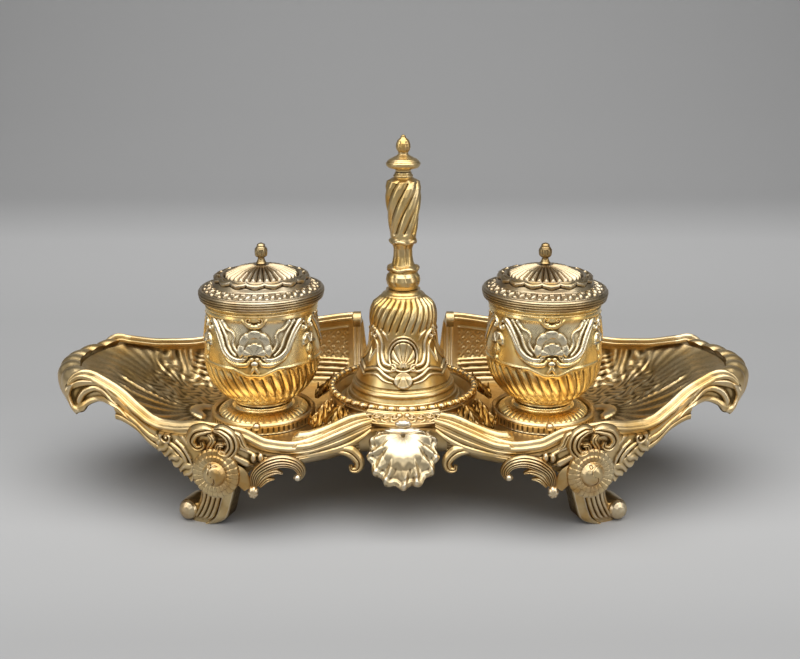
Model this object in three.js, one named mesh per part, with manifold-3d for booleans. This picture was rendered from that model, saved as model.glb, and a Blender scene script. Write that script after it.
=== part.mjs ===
// Silver-gilt inkstand: a boat-shaped tray on four scroll feet, two lidded pots and a table bell.
// Millimetres, +X to the right, +Y to the back, +Z up, the origin on the table below the bell.

import * as THREE from "three";
import { mergeVertices } from "three/addons/utils/BufferGeometryUtils.js";
import Module from "manifold-3d";

const wasm = await Module();
wasm.setup();

// Clearances and overruns
const seatGap = 0.3;
const slideGap = 0.6;
const overrun = 1;

// Tray: plan, floor and walls
const trayEdgeLength = 292;
const trayHalfDepth = 60.5;
const trayThickness = 2;
const floorHeight = 31.5;
const frontRiseHeight = 15;
const backRiseHeight = 34;
const endRiseHeight = 29;
const frontCoveWidth = 7.5;
const backCoveWidth = 17;
const endBowWidth = 14;

// Rim mouldings and the borders that hang below them
const rimWidth = 6.4;
const rimHeight = 4;
const borderThickness = 1.8;
const borderLeanWidth = 2.5;
const borderTopGap = 1.3;

// End scrolls
const scrollReach = 12;
const scrollDropHeight = 13;
const scrollThickness = 3.4;

// Pots: the room between a well and the bell's stand, then one pot from its well upwards
const wellToStandGap = 7.1;
const wellHeight = 5.4;
const wellFloor = 1.8;
const wellThickness = 2.4;
const pearlRadius = 2;
const potFootRadius = 23;
const potFootHeight = 6.4;
const potRadius = 29.5;
const potHeight = 54;
const potThickness = 1.8;
const linerRadius = 23.6;
const linerFloorShare = 0.222;
const linerThickness = 1.2;
const linerLipHeight = 1.2;
const lidThickness = 1.6;
const lidSkirtDepth = 3.2;
const lidRiseHeight = 13.6;
const lidCollarDepth = 5.5;
const lidRibDepth = 0.9;
const lidScallopDepth = 0.8;
const gadroonDepth = 0.9;
const potScrollWidth = 2.6;
const potScrollDepth = 1.1;
const knopRadius = 3.3;
const knopHeight = 10.5;
const studRadius = 1.2;
const nutRadius = 3;
const nutHeight = 2.2;
const nutSides = 6;

// Bell stand and bell
const standRadius = 37.3;
const standHeight = 14.4;
const standThickness = 2;
const dishDepth = 4.4;
const beadRadius = 1.6;
const waveBandReach = 8.4;
const waveBandDropHeight = 3.2;
const waveBandThickness = 1.4;
const standLeafReach = 6.6;
const standLeafHeight = 13.4;
const bellToDishGap = 2.8;
const bellHeight = 55.6;
const bellThickness = 2;
const handleStudRadius = 1.6;
const handleLength = 58;
const handleRadius = 9;
const finialRadius = 8.5;
const finialHeight = 18.2;
const hangerRadius = 4.2;
const hangerPlate = 2.4;
const hangerLength = 6.2;
const lugThickness = 1.3;
const pinRadius = 0.9;
const lugMargin = 1.1;
const clapperLength = 31;
const clapperRadius = 4.4;
const clapperRodRadius = 1;
const eyeThickness = 2.4;

// Feet, rosettes, leaves and shells
const footOffsetX = 88;
const footInset = 13.5;
const footWidth = 27;
const footDepth = 13;
const rosetteOffsetX = 83;
const rosetteDropHeight = 2;
const rosetteRadius = 11.3;
const rosetteRiseHeight = 4.6;
const rosetteThickness = 1.6;
const footLeafOffsetX = 67;
const footLeafLength = 22;
const footLeafDropHeight = 10;
const footLeafHeight = 15.5;
const footLeafThickness = 3.2;
const shellWidth = 31;
const shellDropHeight = 18.5;
const shellThickness = 2.2;
const shellBulgeDepth = 3;
const shellReach = 69.5;
const backScrollRadius = 4.2;
const backScrollWidth = 4.4;
const backScrollThickness = 2;

// Counts of flat facets round a turned piece
const roundFacets = 22;
const smallFacets = 12;

const paleGilt = new THREE.MeshStandardMaterial({ color: 0xd2c39c, metalness: 1, roughness: 0.36 });
const richGilt = new THREE.MeshStandardMaterial({ color: 0xd8a93f, metalness: 1, roughness: 0.3 });
const bareSilver = new THREE.MeshStandardMaterial({ color: 0xb9b3a4, metalness: 1, roughness: 0.4 });

const inkstand = new THREE.Group();

function add(name, geometry, material, x = 0, y = 0, z = 0) {
  const mesh = new THREE.Mesh(geometry, material);
  mesh.name = name;
  mesh.position.set(x, y, z);
  inkstand.add(mesh);
}

// A closed body from corner points and triangles, with its faces turned outwards
function closedBody(points, faces) {
  let volume = 0;
  for (const [a, b, c] of faces) {
    volume += points[a].dot(new THREE.Vector3().crossVectors(points[b], points[c]));
  }
  const index = faces.flatMap(([a, b, c]) => (volume < 0 ? [a, c, b] : [a, b, c]));
  const geometry = new THREE.BufferGeometry();
  const positions = points.flatMap((point) => point.toArray());
  geometry.setAttribute("position", new THREE.Float32BufferAttribute(positions, 3));
  geometry.setIndex(index);
  return geometry;
}

// A plate between two grids of points with the same rows and columns
function plate(top, bottom) {
  const rows = top.length;
  const columns = top[0].length;
  const below = rows * columns;
  const faces = [];
  const quad = (a, b, c, d) => faces.push([a, b, c], [a, c, d]);
  const at = (row, column) => row * columns + column;
  const under = (row, column) => below + at(row, column);
  for (let i = 0; i < rows - 1; i++) {
    for (let j = 0; j < columns - 1; j++) {
      quad(at(i, j), at(i, j + 1), at(i + 1, j + 1), at(i + 1, j));
      quad(under(i, j), under(i + 1, j), under(i + 1, j + 1), under(i, j + 1));
    }
    const last = columns - 1;
    quad(at(i, 0), at(i + 1, 0), under(i + 1, 0), under(i, 0));
    quad(at(i + 1, last), at(i, last), under(i, last), under(i + 1, last));
  }
  for (let j = 0; j < columns - 1; j++) {
    const last = rows - 1;
    quad(at(0, j + 1), at(0, j), under(0, j), under(0, j + 1));
    quad(at(last, j), at(last, j + 1), under(last, j + 1), under(last, j));
  }
  return closedBody([...top.flat(), ...bottom.flat()], faces);
}

// A flat outline carried along stations, each with its origin, two axes and scale
function sweep(outline, stations) {
  const points = stations.flatMap(({ origin, across, up, scale = 1 }) =>
    outline.map(({ x, y }) => origin.clone()
      .addScaledVector(across, x * scale)
      .addScaledVector(up, y * scale)),
  );
  const count = outline.length;
  const faces = [];
  for (let i = 0; i < stations.length - 1; i++) {
    for (let j = 0; j < count; j++) {
      const a = i * count + j;
      const b = i * count + (j + 1) % count;
      faces.push([a, b, b + count], [a, b + count, a + count]);
    }
  }
  const lastRing = (stations.length - 1) * count;
  const clockwise = THREE.ShapeUtils.isClockWise(outline);
  for (const [a, b, c] of THREE.ShapeUtils.triangulateShape(outline, [])) {
    const cap = clockwise ? [a, b, c] : [a, c, b];
    faces.push(cap, [lastRing + cap[0], lastRing + cap[2], lastRing + cap[1]]);
  }
  return closedBody(points, faces);
}

// A turned piece from [radius, height] pairs that close on the axis or on themselves
function turnedPiece(profile, facets = roundFacets) {
  const points = profile.map(([radius, height]) => new THREE.Vector2(radius, height));
  const geometry = new THREE.LatheGeometry(points, facets).rotateX(Math.PI / 2);
  const area = profile.slice(1).reduce((sum, [radius, height], i) => {
    const [lastRadius, lastHeight] = profile[i];
    return sum + (lastRadius + radius) * (height - lastHeight);
  }, 0);
  if (area < 0) {
    geometry.index.array.reverse();
  }
  return geometry;
}

// A turned piece whose points move along its outline's normal, or round it, by a chased relief
function chasedPiece(profile, facets, reliefAt) {
  const geometry = turnedPiece(profile, facets);
  const spots = geometry.attributes.position;
  for (let i = 0; i < spots.count; i++) {
    const j = i % profile.length;
    const facet = Math.floor(i / profile.length) % facets;
    const [r0, z0] = profile[Math.max(j - 1, 0)];
    const [r1, z1] = profile[Math.min(j + 1, profile.length - 1)];
    const length = Math.hypot(r1 - r0, z1 - z0);
    const { rise, twist } = reliefAt(profile[j], facet);
    const radius = profile[j][0] + rise * (z1 - z0) / length;
    const turn = (facet / facets) * 2 * Math.PI - Math.PI / 2 + twist;
    const height = profile[j][1] - rise * (r1 - r0) / length;
    spots.setXYZ(i, radius * Math.cos(turn), radius * Math.sin(turn), height);
  }
  return geometry;
}

const scaled = (shares, radius, height) => shares.map(([r, z]) => [r * radius, z * height]);
const outlineOf = (pairs) => pairs.map(([a, b]) => new THREE.Vector2(a, b));

// The inner side of a thin turned wall: each point moved in along the outline's normal
function insideOf(profile, wall) {
  return profile.map(([radius, height], i) => {
    const [r0, z0] = profile[Math.max(i - 1, 0)];
    const [r1, z1] = profile[Math.min(i + 1, profile.length - 1)];
    const length = Math.hypot(r1 - r0, z1 - z0);
    const inner = radius - wall * (z1 - z0) / length;
    return [radius === 0 ? 0 : Math.max(inner, 0), height + wall * (r1 - r0) / length];
  });
}

function solid(geometry) {
  const bare = geometry.clone();
  bare.deleteAttribute("normal");
  bare.deleteAttribute("uv");
  const merged = mergeVertices(bare);
  return new wasm.Manifold(new wasm.Mesh({
    numProp: 3,
    vertProperties: new Float32Array(merged.attributes.position.array),
    triVerts: new Uint32Array(merged.index.array),
  }));
}

function toGeometry(manifold) {
  const { vertProperties, triVerts } = manifold.getMesh();
  const geometry = new THREE.BufferGeometry();
  geometry.setAttribute("position", new THREE.BufferAttribute(new Float32Array(vertProperties), 3));
  geometry.setIndex(new THREE.BufferAttribute(new Uint32Array(triVerts), 1));
  return geometry;
}

const join = (...pieces) => toGeometry(pieces.map(solid).reduce((whole, piece) => whole.add(piece)));
const cut = (whole, ...tools) => toGeometry(
  tools.map(solid).reduce((rest, tool) => rest.subtract(tool), solid(whole)),
);

// A smooth value between the places of a table, which never overshoots them
function follow(places, place) {
  const last = places.length - 2;
  let i = 0;
  while (i < last && place > places[i + 1][0]) {
    i++;
  }
  const rise = (k) => (places[k + 1][1] - places[k][1]) / (places[k + 1][0] - places[k][0]);
  const slope = (k) => {
    if (k === 0 || k === places.length - 1) {
      return rise(Math.min(k, last));
    }
    const before = rise(k - 1);
    const after = rise(k);
    return before * after > 0 ? 2 * before * after / (before + after) : 0;
  };
  const [x0, y0] = places[i];
  const [x1, y1] = places[i + 1];
  const span = x1 - x0;
  const t = THREE.MathUtils.clamp((place - x0) / span, 0, 1);
  const bend = t * t * (3 - 2 * t);
  return y0 + (y1 - y0) * bend + span * t * (1 - t) * ((1 - t) * slope(i) - t * slope(i + 1));
}

// Tray shape, at shares of its half length: half depths of the plan and heights of the two edges
const bayShare = (standRadius + waveBandReach) / trayHalfDepth;
const frontDepthShares = [
  [0, bayShare], [0.14, bayShare + 0.015], [0.25, 0.92], [0.35, 1], [0.49, 1], [0.62, 0.93],
  [0.73, 0.81], [0.83, 0.69], [0.91, 0.58], [1, 0.484],
];
const backDepthShares = [
  [0, 0.9], [0.15, 0.94], [0.34, 1], [0.49, 1], [0.62, 0.95],
  [0.73, 0.85], [0.83, 0.74], [0.91, 0.62], [1, 0.484],
];
const frontEdgeShares = [
  [0, 0.77], [0.14, 0.77], [0.25, 0.6], [0.34, 0.47], [0.42, 0.56], [0.51, 0.93], [0.62, 1],
  [0.73, 0.83], [0.79, 0.78], [0.84, 1.1], [0.91, 1.55], [1, 1.933],
];
const backEdgeShares = [
  [0, 0.5], [0.137, 0.5], [0.157, 1], [0.32, 0.9], [0.49, 0.78], [0.62, 0.7],
  [0.78, 0.65], [0.9, 0.72], [1, 0.853],
];
const floorShares = [[0, 0], [0.66, 0], [0.76, 0.13], [0.86, 0.47], [0.94, 0.83], [1, 1]];
const bowStartShare = 0.62;

const halfEdge = trayEdgeLength / 2;
const shareAt = (x) => Math.min(Math.abs(x) / halfEdge, 1);
const frontY = (x) => -trayHalfDepth * follow(frontDepthShares, shareAt(x));
const backY = (x) => trayHalfDepth * follow(backDepthShares, shareAt(x));
const frontZ = (x) => floorHeight + frontRiseHeight * follow(frontEdgeShares, shareAt(x));
const backZ = (x) => floorHeight + backRiseHeight * follow(backEdgeShares, shareAt(x));
const floorZ = (x) => floorHeight + endRiseHeight * follow(floorShares, shareAt(x));

// The ends bow outwards between the two edges.
function bowedX(x, across) {
  const reach = Math.max(shareAt(x) - bowStartShare, 0) / (1 - bowStartShare);
  return x + Math.sign(x) * endBowWidth * reach * reach * (1 - across * across);
}

const coveSteps = 4;
const floorSteps = 4;
function traySection(x) {
  const front = frontY(x);
  const back = backY(x);
  const low = floorZ(x);
  const cove = (edge, inwards, top, i) => {
    const turn = (i / coveSteps) * Math.PI / 2;
    return [edge + inwards * (1 - Math.cos(turn)), top - (top - low) * Math.sin(turn)];
  };
  const points = [];
  for (let i = 0; i < coveSteps; i++) {
    points.push(cove(front, frontCoveWidth, frontZ(x), i));
  }
  for (let i = 0; i <= floorSteps; i++) {
    const y = THREE.MathUtils.lerp(front + frontCoveWidth, back - backCoveWidth, i / floorSteps);
    points.push([y, low]);
  }
  for (let i = coveSteps - 1; i >= 0; i--) {
    points.push(cove(back, -backCoveWidth, backZ(x), i));
  }
  return points.map(([y, z]) => {
    const across = (2 * y - front - back) / (back - front);
    return new THREE.Vector3(bowedX(x, across), y, z);
  });
}

// Stations along the tray, closer together where the back wall steps up beside the bell
const stationShares = [
  0, 0.07, 0.137, 0.157, 0.2, 0.25, 0.3, 0.35, 0.4, 0.45, 0.5, 0.56, 0.62, 0.68, 0.74, 0.8, 0.84,
  0.88, 0.92, 0.96, 1,
];
const rightStations = stationShares.map((share) => share * halfEdge);
const trayStations = [...rightStations.slice(1).map((x) => -x).reverse(), ...rightStations];

// Each grid point moved along the surface's own normal
function offsetGrid(grid, distance) {
  return grid.map((row, i) => row.map((point, j) => {
    const along = grid[Math.min(i + 1, grid.length - 1)][j].clone().sub(grid[Math.max(i - 1, 0)][j]);
    const across = row[Math.min(j + 1, row.length - 1)].clone().sub(row[Math.max(j - 1, 0)]);
    const normal = new THREE.Vector3().crossVectors(along, across).normalize();
    return point.clone().addScaledVector(normal, distance);
  }));
}

const trayTop = trayStations.map(traySection);
add("tray", plate(trayTop, offsetGrid(trayTop, -trayThickness)), paleGilt);

// The tray with its clearance, which shapes whatever lies close against it
const trayRoom = plate(offsetGrid(trayTop, seatGap), offsetGrid(trayTop, -trayThickness - seatGap));

// Bordering pieces repeat at both ends, at the front and at the back.
const ends = [[-1, "left"], [1, "right"]];
const rows = [[-1, "front"], [1, "back"]];

function edgePoint(share, side, face) {
  const x = side * share * halfEdge;
  return new THREE.Vector3(x, face < 0 ? frontY(x) : backY(x), face < 0 ? frontZ(x) : backZ(x));
}

const probeShare = 0.01;
function edgeFrame(share, side, face) {
  const ahead = edgePoint(Math.min(share + probeShare, 1), side, face);
  const along = ahead.sub(edgePoint(share - probeShare, side, face));
  const across = new THREE.Vector3(along.y, -along.x, 0).normalize();
  across.multiplyScalar(Math.sign(across.y) * face);
  const up = new THREE.Vector3().crossVectors(along, across).normalize();
  return { across, up: up.multiplyScalar(Math.sign(up.z)) };
}

// End scrolls: each end of the tray rolls over outwards and down between the two rims.
const rimOverhangShare = 0.42;
const rimSunkShare = 0.6;
const curlCentreShare = 0.35;
const scrollCentre = scrollReach * curlCentreShare;
const scrollRadius = scrollReach - scrollCentre;
const curlStartAngle = 2.06;
const curlEndAngle = -1.12;
const curlSteps = 9;
const curlTurns = Array.from({ length: curlSteps + 1 }, (_, i) =>
  THREE.MathUtils.lerp(curlStartAngle, curlEndAngle, i / curlSteps),
);
const curlFall = (turn) => (turn < 0 ? scrollDropHeight : scrollRadius);
function curlPoint(turn, inset) {
  return {
    out: scrollCentre + (scrollRadius - inset) * Math.cos(turn),
    up: (curlFall(turn) - inset) * Math.sin(turn) - scrollCentre,
  };
}

const scrollRows = 8;
const edgeHalfDepth = Math.abs(frontY(halfEdge));
const scrollHalfWidth = edgeHalfDepth - rimOverhangShare * rimWidth - seatGap;
for (const [side, end] of ends) {
  const grid = (inset) => Array.from({ length: scrollRows + 1 }, (_, i) => {
    const y = THREE.MathUtils.lerp(-scrollHalfWidth, scrollHalfWidth, i / scrollRows);
    const bow = endBowWidth * (1 - (y / edgeHalfDepth) ** 2);
    return curlTurns.map((turn) => {
      const { out, up } = curlPoint(turn, inset);
      return new THREE.Vector3(side * (halfEdge + bow + out), y, floorZ(halfEdge) + up);
    });
  });
  add(`end_scroll_${end}`, plate(grid(0), grid(scrollThickness)), paleGilt);
}

// Rim mouldings: each runs along an edge and on round the side of the end scroll.
const rimOutlineShares = [
  [-rimOverhangShare, 0], [-rimOverhangShare, 0.45], [-0.12, 0.95], [0.2, 0.9], [0.5, 0.6],
  [1 - rimOverhangShare, 0],
];
const rimOutline = outlineOf(scaled(rimOutlineShares, rimWidth, rimHeight));
const rimStartShares = { front: 0.137, back: 0.2 };
for (const [face, row] of rows) {
  for (const [side, end] of ends) {
    const stations = stationShares.filter((share) => share >= rimStartShares[row]).map((share) => {
      const { across, up } = edgeFrame(share, side, face);
      return { origin: edgePoint(share, side, face).addScaledVector(up, seatGap), across, up };
    });
    const corner = edgePoint(1, side, face);
    const { across } = edgeFrame(1, side, face);
    for (const turn of curlTurns.slice(1)) {
      const { out, up } = curlPoint(turn, rimHeight * rimSunkShare);
      const rise = scrollRadius * Math.sin(turn);
      stations.push({
        origin: corner.clone().add(new THREE.Vector3(side * out, 0, up)),
        across,
        up: new THREE.Vector3(side * curlFall(turn) * Math.cos(turn), 0, rise).normalize(),
      });
    }
    add(`rim_${row}_${end}`, sweep(rimOutline, stations), paleGilt);
  }
}

// Borders: a cast apron hangs below the rim, close outside the tray's wall.
function outsideY(share, side, face, z) {
  const { x, y, z: edge } = edgePoint(share, side, face);
  const rise = edge - floorZ(x);
  const turn = Math.asin(THREE.MathUtils.clamp((edge - z) / rise, 0, 1));
  const cove = face < 0 ? frontCoveWidth : backCoveWidth;
  const slant = Math.hypot(cove * Math.sin(turn), rise * Math.cos(turn)) / (rise * Math.cos(turn));
  return Math.abs(y) - cove * (1 - Math.cos(turn)) + trayThickness * slant;
}

const borderBottomShares = [
  [0.137, 1.05], [0.31, 1.11], [0.42, 1.06], [0.5, 0.83], [0.56, 0.7], [0.64, 0.7], [0.7, 0.84],
  [0.74, 0.99], [0.8, 1.13], [0.85, 1.3], [0.93, 1.42],
];
const borderStationShares = [
  0.137, 0.2, 0.25, 0.3, 0.35, 0.4, 0.45, 0.5, 0.56, 0.62, 0.68, 0.74, 0.8, 0.84, 0.88, 0.92,
];
const borderSteps = 3;
function borderPoint(share, side, face, drop, depth) {
  const edge = edgePoint(share, side, face);
  const top = Math.min(edge.z, frontZ(edge.x)) - borderTopGap;
  const bottom = floorHeight * follow(borderBottomShares, share);
  const lean = borderLeanWidth * drop * drop;
  const y = outsideY(share, side, face, top) + seatGap + depth - lean;
  return new THREE.Vector3(edge.x, face * y, THREE.MathUtils.lerp(top, bottom, drop));
}

for (const [face, row] of rows) {
  for (const [side, end] of ends) {
    const grid = (depth) => borderStationShares.map((share) =>
      Array.from({ length: borderSteps + 1 }, (_, i) =>
        borderPoint(share, side, face, i / borderSteps, depth)),
    );
    add(`border_${row}_${end}`, cut(plate(grid(borderThickness), grid(0)), trayRoom), paleGilt);
  }
}

// Back scrolls: a rib climbs the end of each half of the back wall and rolls over at the top.
const backScrollShare = 0.175;
const backScrollSteps = 6;
const backScrollTurn = 4.4;
const squareShares = [[-0.5, -0.5], [0.5, -0.5], [0.5, 0.5], [-0.5, 0.5]];
const backScrollOutline = outlineOf(scaled(squareShares, backScrollWidth, backScrollThickness));
for (const [side, end] of ends) {
  const x = side * backScrollShare * halfEdge;
  const rise = backZ(x) - floorZ(x);
  const lift = seatGap + backScrollThickness / 2;
  const path = [];
  for (let i = backScrollSteps - 1; i > 0; i--) {
    const turn = (i / backScrollSteps) * Math.PI / 2;
    const inwards = new THREE.Vector2(-rise * Math.cos(turn), backCoveWidth * Math.sin(turn)).normalize();
    const y = backY(x) - backCoveWidth * (1 - Math.cos(turn)) + lift * inwards.x;
    const z = backZ(x) - rise * Math.sin(turn) + lift * inwards.y;
    path.push({ origin: new THREE.Vector3(x, y, z), up: new THREE.Vector3(0, inwards.x, inwards.y) });
  }
  const curl = backScrollRadius - backScrollThickness / 2;
  for (let i = 0; i <= backScrollSteps; i++) {
    const turn = (i / backScrollSteps) * backScrollTurn;
    const up = new THREE.Vector3(0, -Math.cos(turn), -Math.sin(turn));
    const centre = new THREE.Vector3(x, backY(x) - lift - curl, backZ(x) + curl / 2);
    path.push({ origin: centre.addScaledVector(up, -curl), up });
  }
  const across = new THREE.Vector3(1, 0, 0);
  const rib = sweep(backScrollOutline, path.map((station) => ({ ...station, across })));
  add(`back_scroll_${end}`, cut(rib, trayRoom), paleGilt);
}

// Shells: a ribbed shell hangs at the middle of the front and of the back.
const shellFanAngle = 1.85;
const shellRays = 20;
const shellRibs = 9;
const shellLobeShare = 0.05;
const shellRingShares = [0.12, 0.45, 0.75, 1];
const shellTop = frontZ(0);
for (const [face, row] of rows) {
  const besideWall = outsideY(shellWidth / 2 / halfEdge, 1, face, shellTop);
  const wall = Math.max(besideWall, standRadius + waveBandReach) + seatGap;
  const hingeY = wall + shellThickness + seatGap;
  const lean = Math.atan2(shellReach - hingeY, shellDropHeight);
  const length = Math.hypot(shellReach - hingeY, shellDropHeight) / (1 + shellLobeShare);
  const down = new THREE.Vector3(0, face * Math.sin(lean), -Math.cos(lean));
  const out = new THREE.Vector3(0, face * Math.cos(lean), Math.sin(lean));
  const hinge = new THREE.Vector3(0, face * hingeY, shellTop);
  const grid = (depth) => Array.from({ length: shellRays + 1 }, (_, i) => {
    const turn = THREE.MathUtils.lerp(-shellFanAngle, shellFanAngle, i / shellRays);
    const lobe = 1 + shellLobeShare * Math.cos(shellRibs * turn);
    return shellRingShares.map((ring) => {
      const sideways = shellWidth / 2 * ring * lobe * Math.sin(turn);
      const drop = ring * lobe * Math.cos(turn) * (turn * turn < 1 ? length : shellWidth / 2);
      const bulge = shellBulgeDepth * Math.sin(ring * Math.PI) - depth;
      return hinge.clone()
        .add(new THREE.Vector3(sideways, 0, 0))
        .addScaledVector(down, drop)
        .addScaledVector(out, bulge);
    });
  });
  add(`shell_${row}`, cut(plate(grid(0), grid(shellThickness)), trayRoom), paleGilt);
}

// Bell stand: a raised drum with a dished top, ringed with bead and reel
const standBase = floorHeight + seatGap;
const dishRadius = standRadius - 2 * beadRadius - seatGap;
const standInner = standRadius - standThickness;
const dishTop = standHeight - dishDepth;
const dishUnder = dishTop - standThickness;
add("bell_stand", turnedPiece([
  [standInner, 0], [standRadius, 0], [standRadius, standHeight], [dishRadius, standHeight],
  [dishRadius - standThickness, dishTop], [0, dishTop], [0, dishUnder],
  [dishRadius - 2 * standThickness, dishUnder], [standInner, dishUnder], [standInner, 0],
]), paleGilt, 0, 0, standBase);

const ringCentre = standRadius - beadRadius;
const ringSteps = 6;
const ringProfile = Array.from({ length: ringSteps + 1 }, (_, i) => {
  const turn = (i / ringSteps) * 2 * Math.PI;
  return [ringCentre + beadRadius * Math.cos(turn), beadRadius * Math.sin(turn)];
});
ringProfile[ringSteps] = ringProfile[0];
const ringHeight = standBase + standHeight + seatGap + beadRadius;
add("bead_ring", turnedPiece(ringProfile, 2 * smallFacets), paleGilt, 0, 0, ringHeight);

// A radial outline carried round the bell's axis
function arcStations(from, to, count, scaleAt = () => 1) {
  return Array.from({ length: count + 1 }, (_, i) => {
    const turn = THREE.MathUtils.lerp(from, to, i / count);
    const across = new THREE.Vector3(Math.cos(turn), Math.sin(turn), 0);
    return {
      origin: across.clone().multiplyScalar(standRadius + seatGap),
      across,
      up: new THREE.Vector3(0, 0, 1),
      scale: scaleAt(i / count),
    };
  });
}

// Wave bands: a carved slope between the drum and the tray's edge, at the front and at the back
const waveBandHalfAngle = 0.46;
const waveBandSteps = 8;
const waveBandTop = standHeight + beadRadius;
const waveBandFoot = waveBandTop - waveBandDropHeight;
const waveOutline = outlineOf([
  [0, waveBandTop], [waveBandReach, waveBandFoot],
  [waveBandReach, waveBandFoot - waveBandThickness], [0, waveBandTop - 2 * waveBandThickness],
]);
for (const [face, row] of rows) {
  const middle = face * Math.PI / 2;
  const [from, to] = [middle - waveBandHalfAngle, middle + waveBandHalfAngle];
  const band = sweep(waveOutline, arcStations(from, to, waveBandSteps));
  add(`wave_band_${row}`, band, paleGilt, 0, 0, standBase);
}

// Stand leaves: a curled acanthus leaf lies against each quarter of the drum.
const leafOutlineShares = [
  [0, 0], [1, 0], [0.95, 0.22], [0.66, 0.52], [0.5, 0.85], [0.2, 1], [0, 0.9],
];
const leafOutline = outlineOf(scaled(leafOutlineShares, standLeafReach, standLeafHeight));
const standLeafMiddle = 0.75;
const standLeafHalfAngle = 0.34;
const standLeafSteps = 7;
const leafTipShare = 0.45;
const swell = (share) => leafTipShare + (1 - leafTipShare) * Math.sin(share * Math.PI);
for (const [face, row] of rows) {
  for (const [side, end] of ends) {
    const middle = Math.atan2(face * Math.sin(standLeafMiddle), side * Math.cos(standLeafMiddle));
    const [from, to] = [middle - standLeafHalfAngle, middle + standLeafHalfAngle];
    const leaf = sweep(leafOutline, arcStations(from, to, standLeafSteps, swell));
    add(`stand_leaf_${row}_${end}`, leaf, richGilt, 0, 0, standBase);
  }
}

// Feet: a waisted scroll leg below the tray, with a rolled toe at its outer side
const legOutlineShares = [
  [-0.5, 0.04], [-0.46, 0], [0.42, 0], [0.5, 0.06], [0.46, 0.26], [0.34, 0.5], [0.4, 0.78],
  [0.46, 1], [-0.3, 1], [-0.22, 0.72], [-0.2, 0.46], [-0.22, 0.32], [-0.3, 0.36], [-0.42, 0.35],
  [-0.5, 0.26], [-0.53, 0.14],
];
const footHeight = floorHeight - trayThickness - seatGap;
const footSplay = 0.34;
for (const [face, row] of rows) {
  for (const [side, end] of ends) {
    const outline = outlineOf(scaled(legOutlineShares, -side * footWidth, footHeight));
    const extent = { depth: footDepth, bevelEnabled: false };
    const leg = new THREE.ExtrudeGeometry(new THREE.Shape(outline), extent);
    leg.translate(0, 0, -footDepth / 2).rotateX(Math.PI / 2).rotateZ(-side * face * footSplay);
    leg.translate(side * footOffsetX, face * (trayHalfDepth - footInset), 0);
    add(`foot_${row}_${end}`, cut(leg, trayRoom), paleGilt);
  }
}

// Rosettes: a fluted shell boss on the border above each foot
const rosettePetals = 12;
const rosetteRays = 24;
const rosetteLobeShare = 0.035;
const rosetteRingShares = [[0.08, 1], [0.35, 0.5], [0.62, 0.2], [1, 0.12]];
for (const [face, row] of rows) {
  for (const [side, end] of ends) {
    const share = rosetteOffsetX / halfEdge;
    const { across } = edgeFrame(share, side, face);
    const border = borderPoint(share, side, face, 0, borderThickness + seatGap);
    const centre = new THREE.Vector3(border.x, border.y, floorHeight - rosetteDropHeight);
    const sideways = new THREE.Vector3(0, 0, 1).cross(across);
    const ring = (r, depth) => Array.from({ length: rosetteRays }, (_, i) => {
      const turn = (i / rosetteRays) * 2 * Math.PI;
      const radius = r * (1 + rosetteLobeShare * Math.cos(rosettePetals * turn));
      return centre.clone()
        .addScaledVector(sideways, radius * Math.cos(turn))
        .addScaledVector(across, depth)
        .add(new THREE.Vector3(0, 0, radius * Math.sin(turn)));
    });
    const relief = scaled(rosetteRingShares, rosetteRadius, rosetteRiseHeight).reverse();
    const rings = [
      ring(rosetteRadius, 0),
      ...relief.map(([r, rise]) => ring(r, rosetteThickness + rise)),
    ];
    const faces = [];
    rings.slice(1).forEach((_, i) => {
      for (let j = 0; j < rosetteRays; j++) {
        const a = i * rosetteRays + j;
        const b = i * rosetteRays + (j + 1) % rosetteRays;
        faces.push([a, b, b + rosetteRays], [a, b + rosetteRays, a + rosetteRays]);
      }
    });
    const points = rings.flat();
    const back = points.push(centre.clone()) - 1;
    const boss = centre.clone().addScaledVector(across, rosetteThickness + rosetteRiseHeight);
    const tip = points.push(boss) - 1;
    const last = (rings.length - 1) * rosetteRays;
    for (let j = 0; j < rosetteRays; j++) {
      const next = (j + 1) % rosetteRays;
      faces.push([back, next, j], [tip, last + j, last + next]);
    }
    add(`rosette_${row}_${end}`, closedBody(points, faces), paleGilt);
  }
}

// Foot leaves: an arched acanthus leaf springs from the inner side of each foot against the border.
const footLeafPathShares = [[0, 0], [0.16, 0.55], [0.42, 0.9], [0.7, 1], [0.92, 0.82], [1, 0.5]];
const footLeafSteps = 9;
const footLeafSides = 6;
const footLeafTipShare = 0.6;
const footLeafOutline = Array.from({ length: footLeafSides }, (_, i) => {
  const turn = (i / footLeafSides) * 2 * Math.PI;
  return new THREE.Vector2(Math.cos(turn), Math.sin(turn)).multiplyScalar(footLeafThickness / 2);
});
const footLeafCurve = new THREE.CatmullRomCurve3(
  footLeafPathShares.map(([a, b]) => new THREE.Vector3(a * footLeafLength, 0, b * footLeafHeight)),
);
for (const [face, row] of rows) {
  for (const [side, end] of ends) {
    const stations = Array.from({ length: footLeafSteps + 1 }, (_, i) => {
      const point = footLeafCurve.getPoint(i / footLeafSteps);
      const along = footLeafCurve.getTangent(i / footLeafSteps);
      const share = (footLeafOffsetX - point.x) / halfEdge;
      const border = borderPoint(share, side, face, 0, borderThickness);
      border.y += face * (seatGap + footLeafThickness / 2);
      return {
        origin: new THREE.Vector3(border.x, border.y, floorHeight - footLeafDropHeight + point.z),
        across: new THREE.Vector3(0, face, 0),
        up: new THREE.Vector3(side * along.z, 0, along.x),
        scale: THREE.MathUtils.lerp(1, footLeafTipShare, i / footLeafSteps),
      };
    });
    add(`foot_leaf_${row}_${end}`, sweep(footLeafOutline, stations), paleGilt);
  }
}

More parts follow.
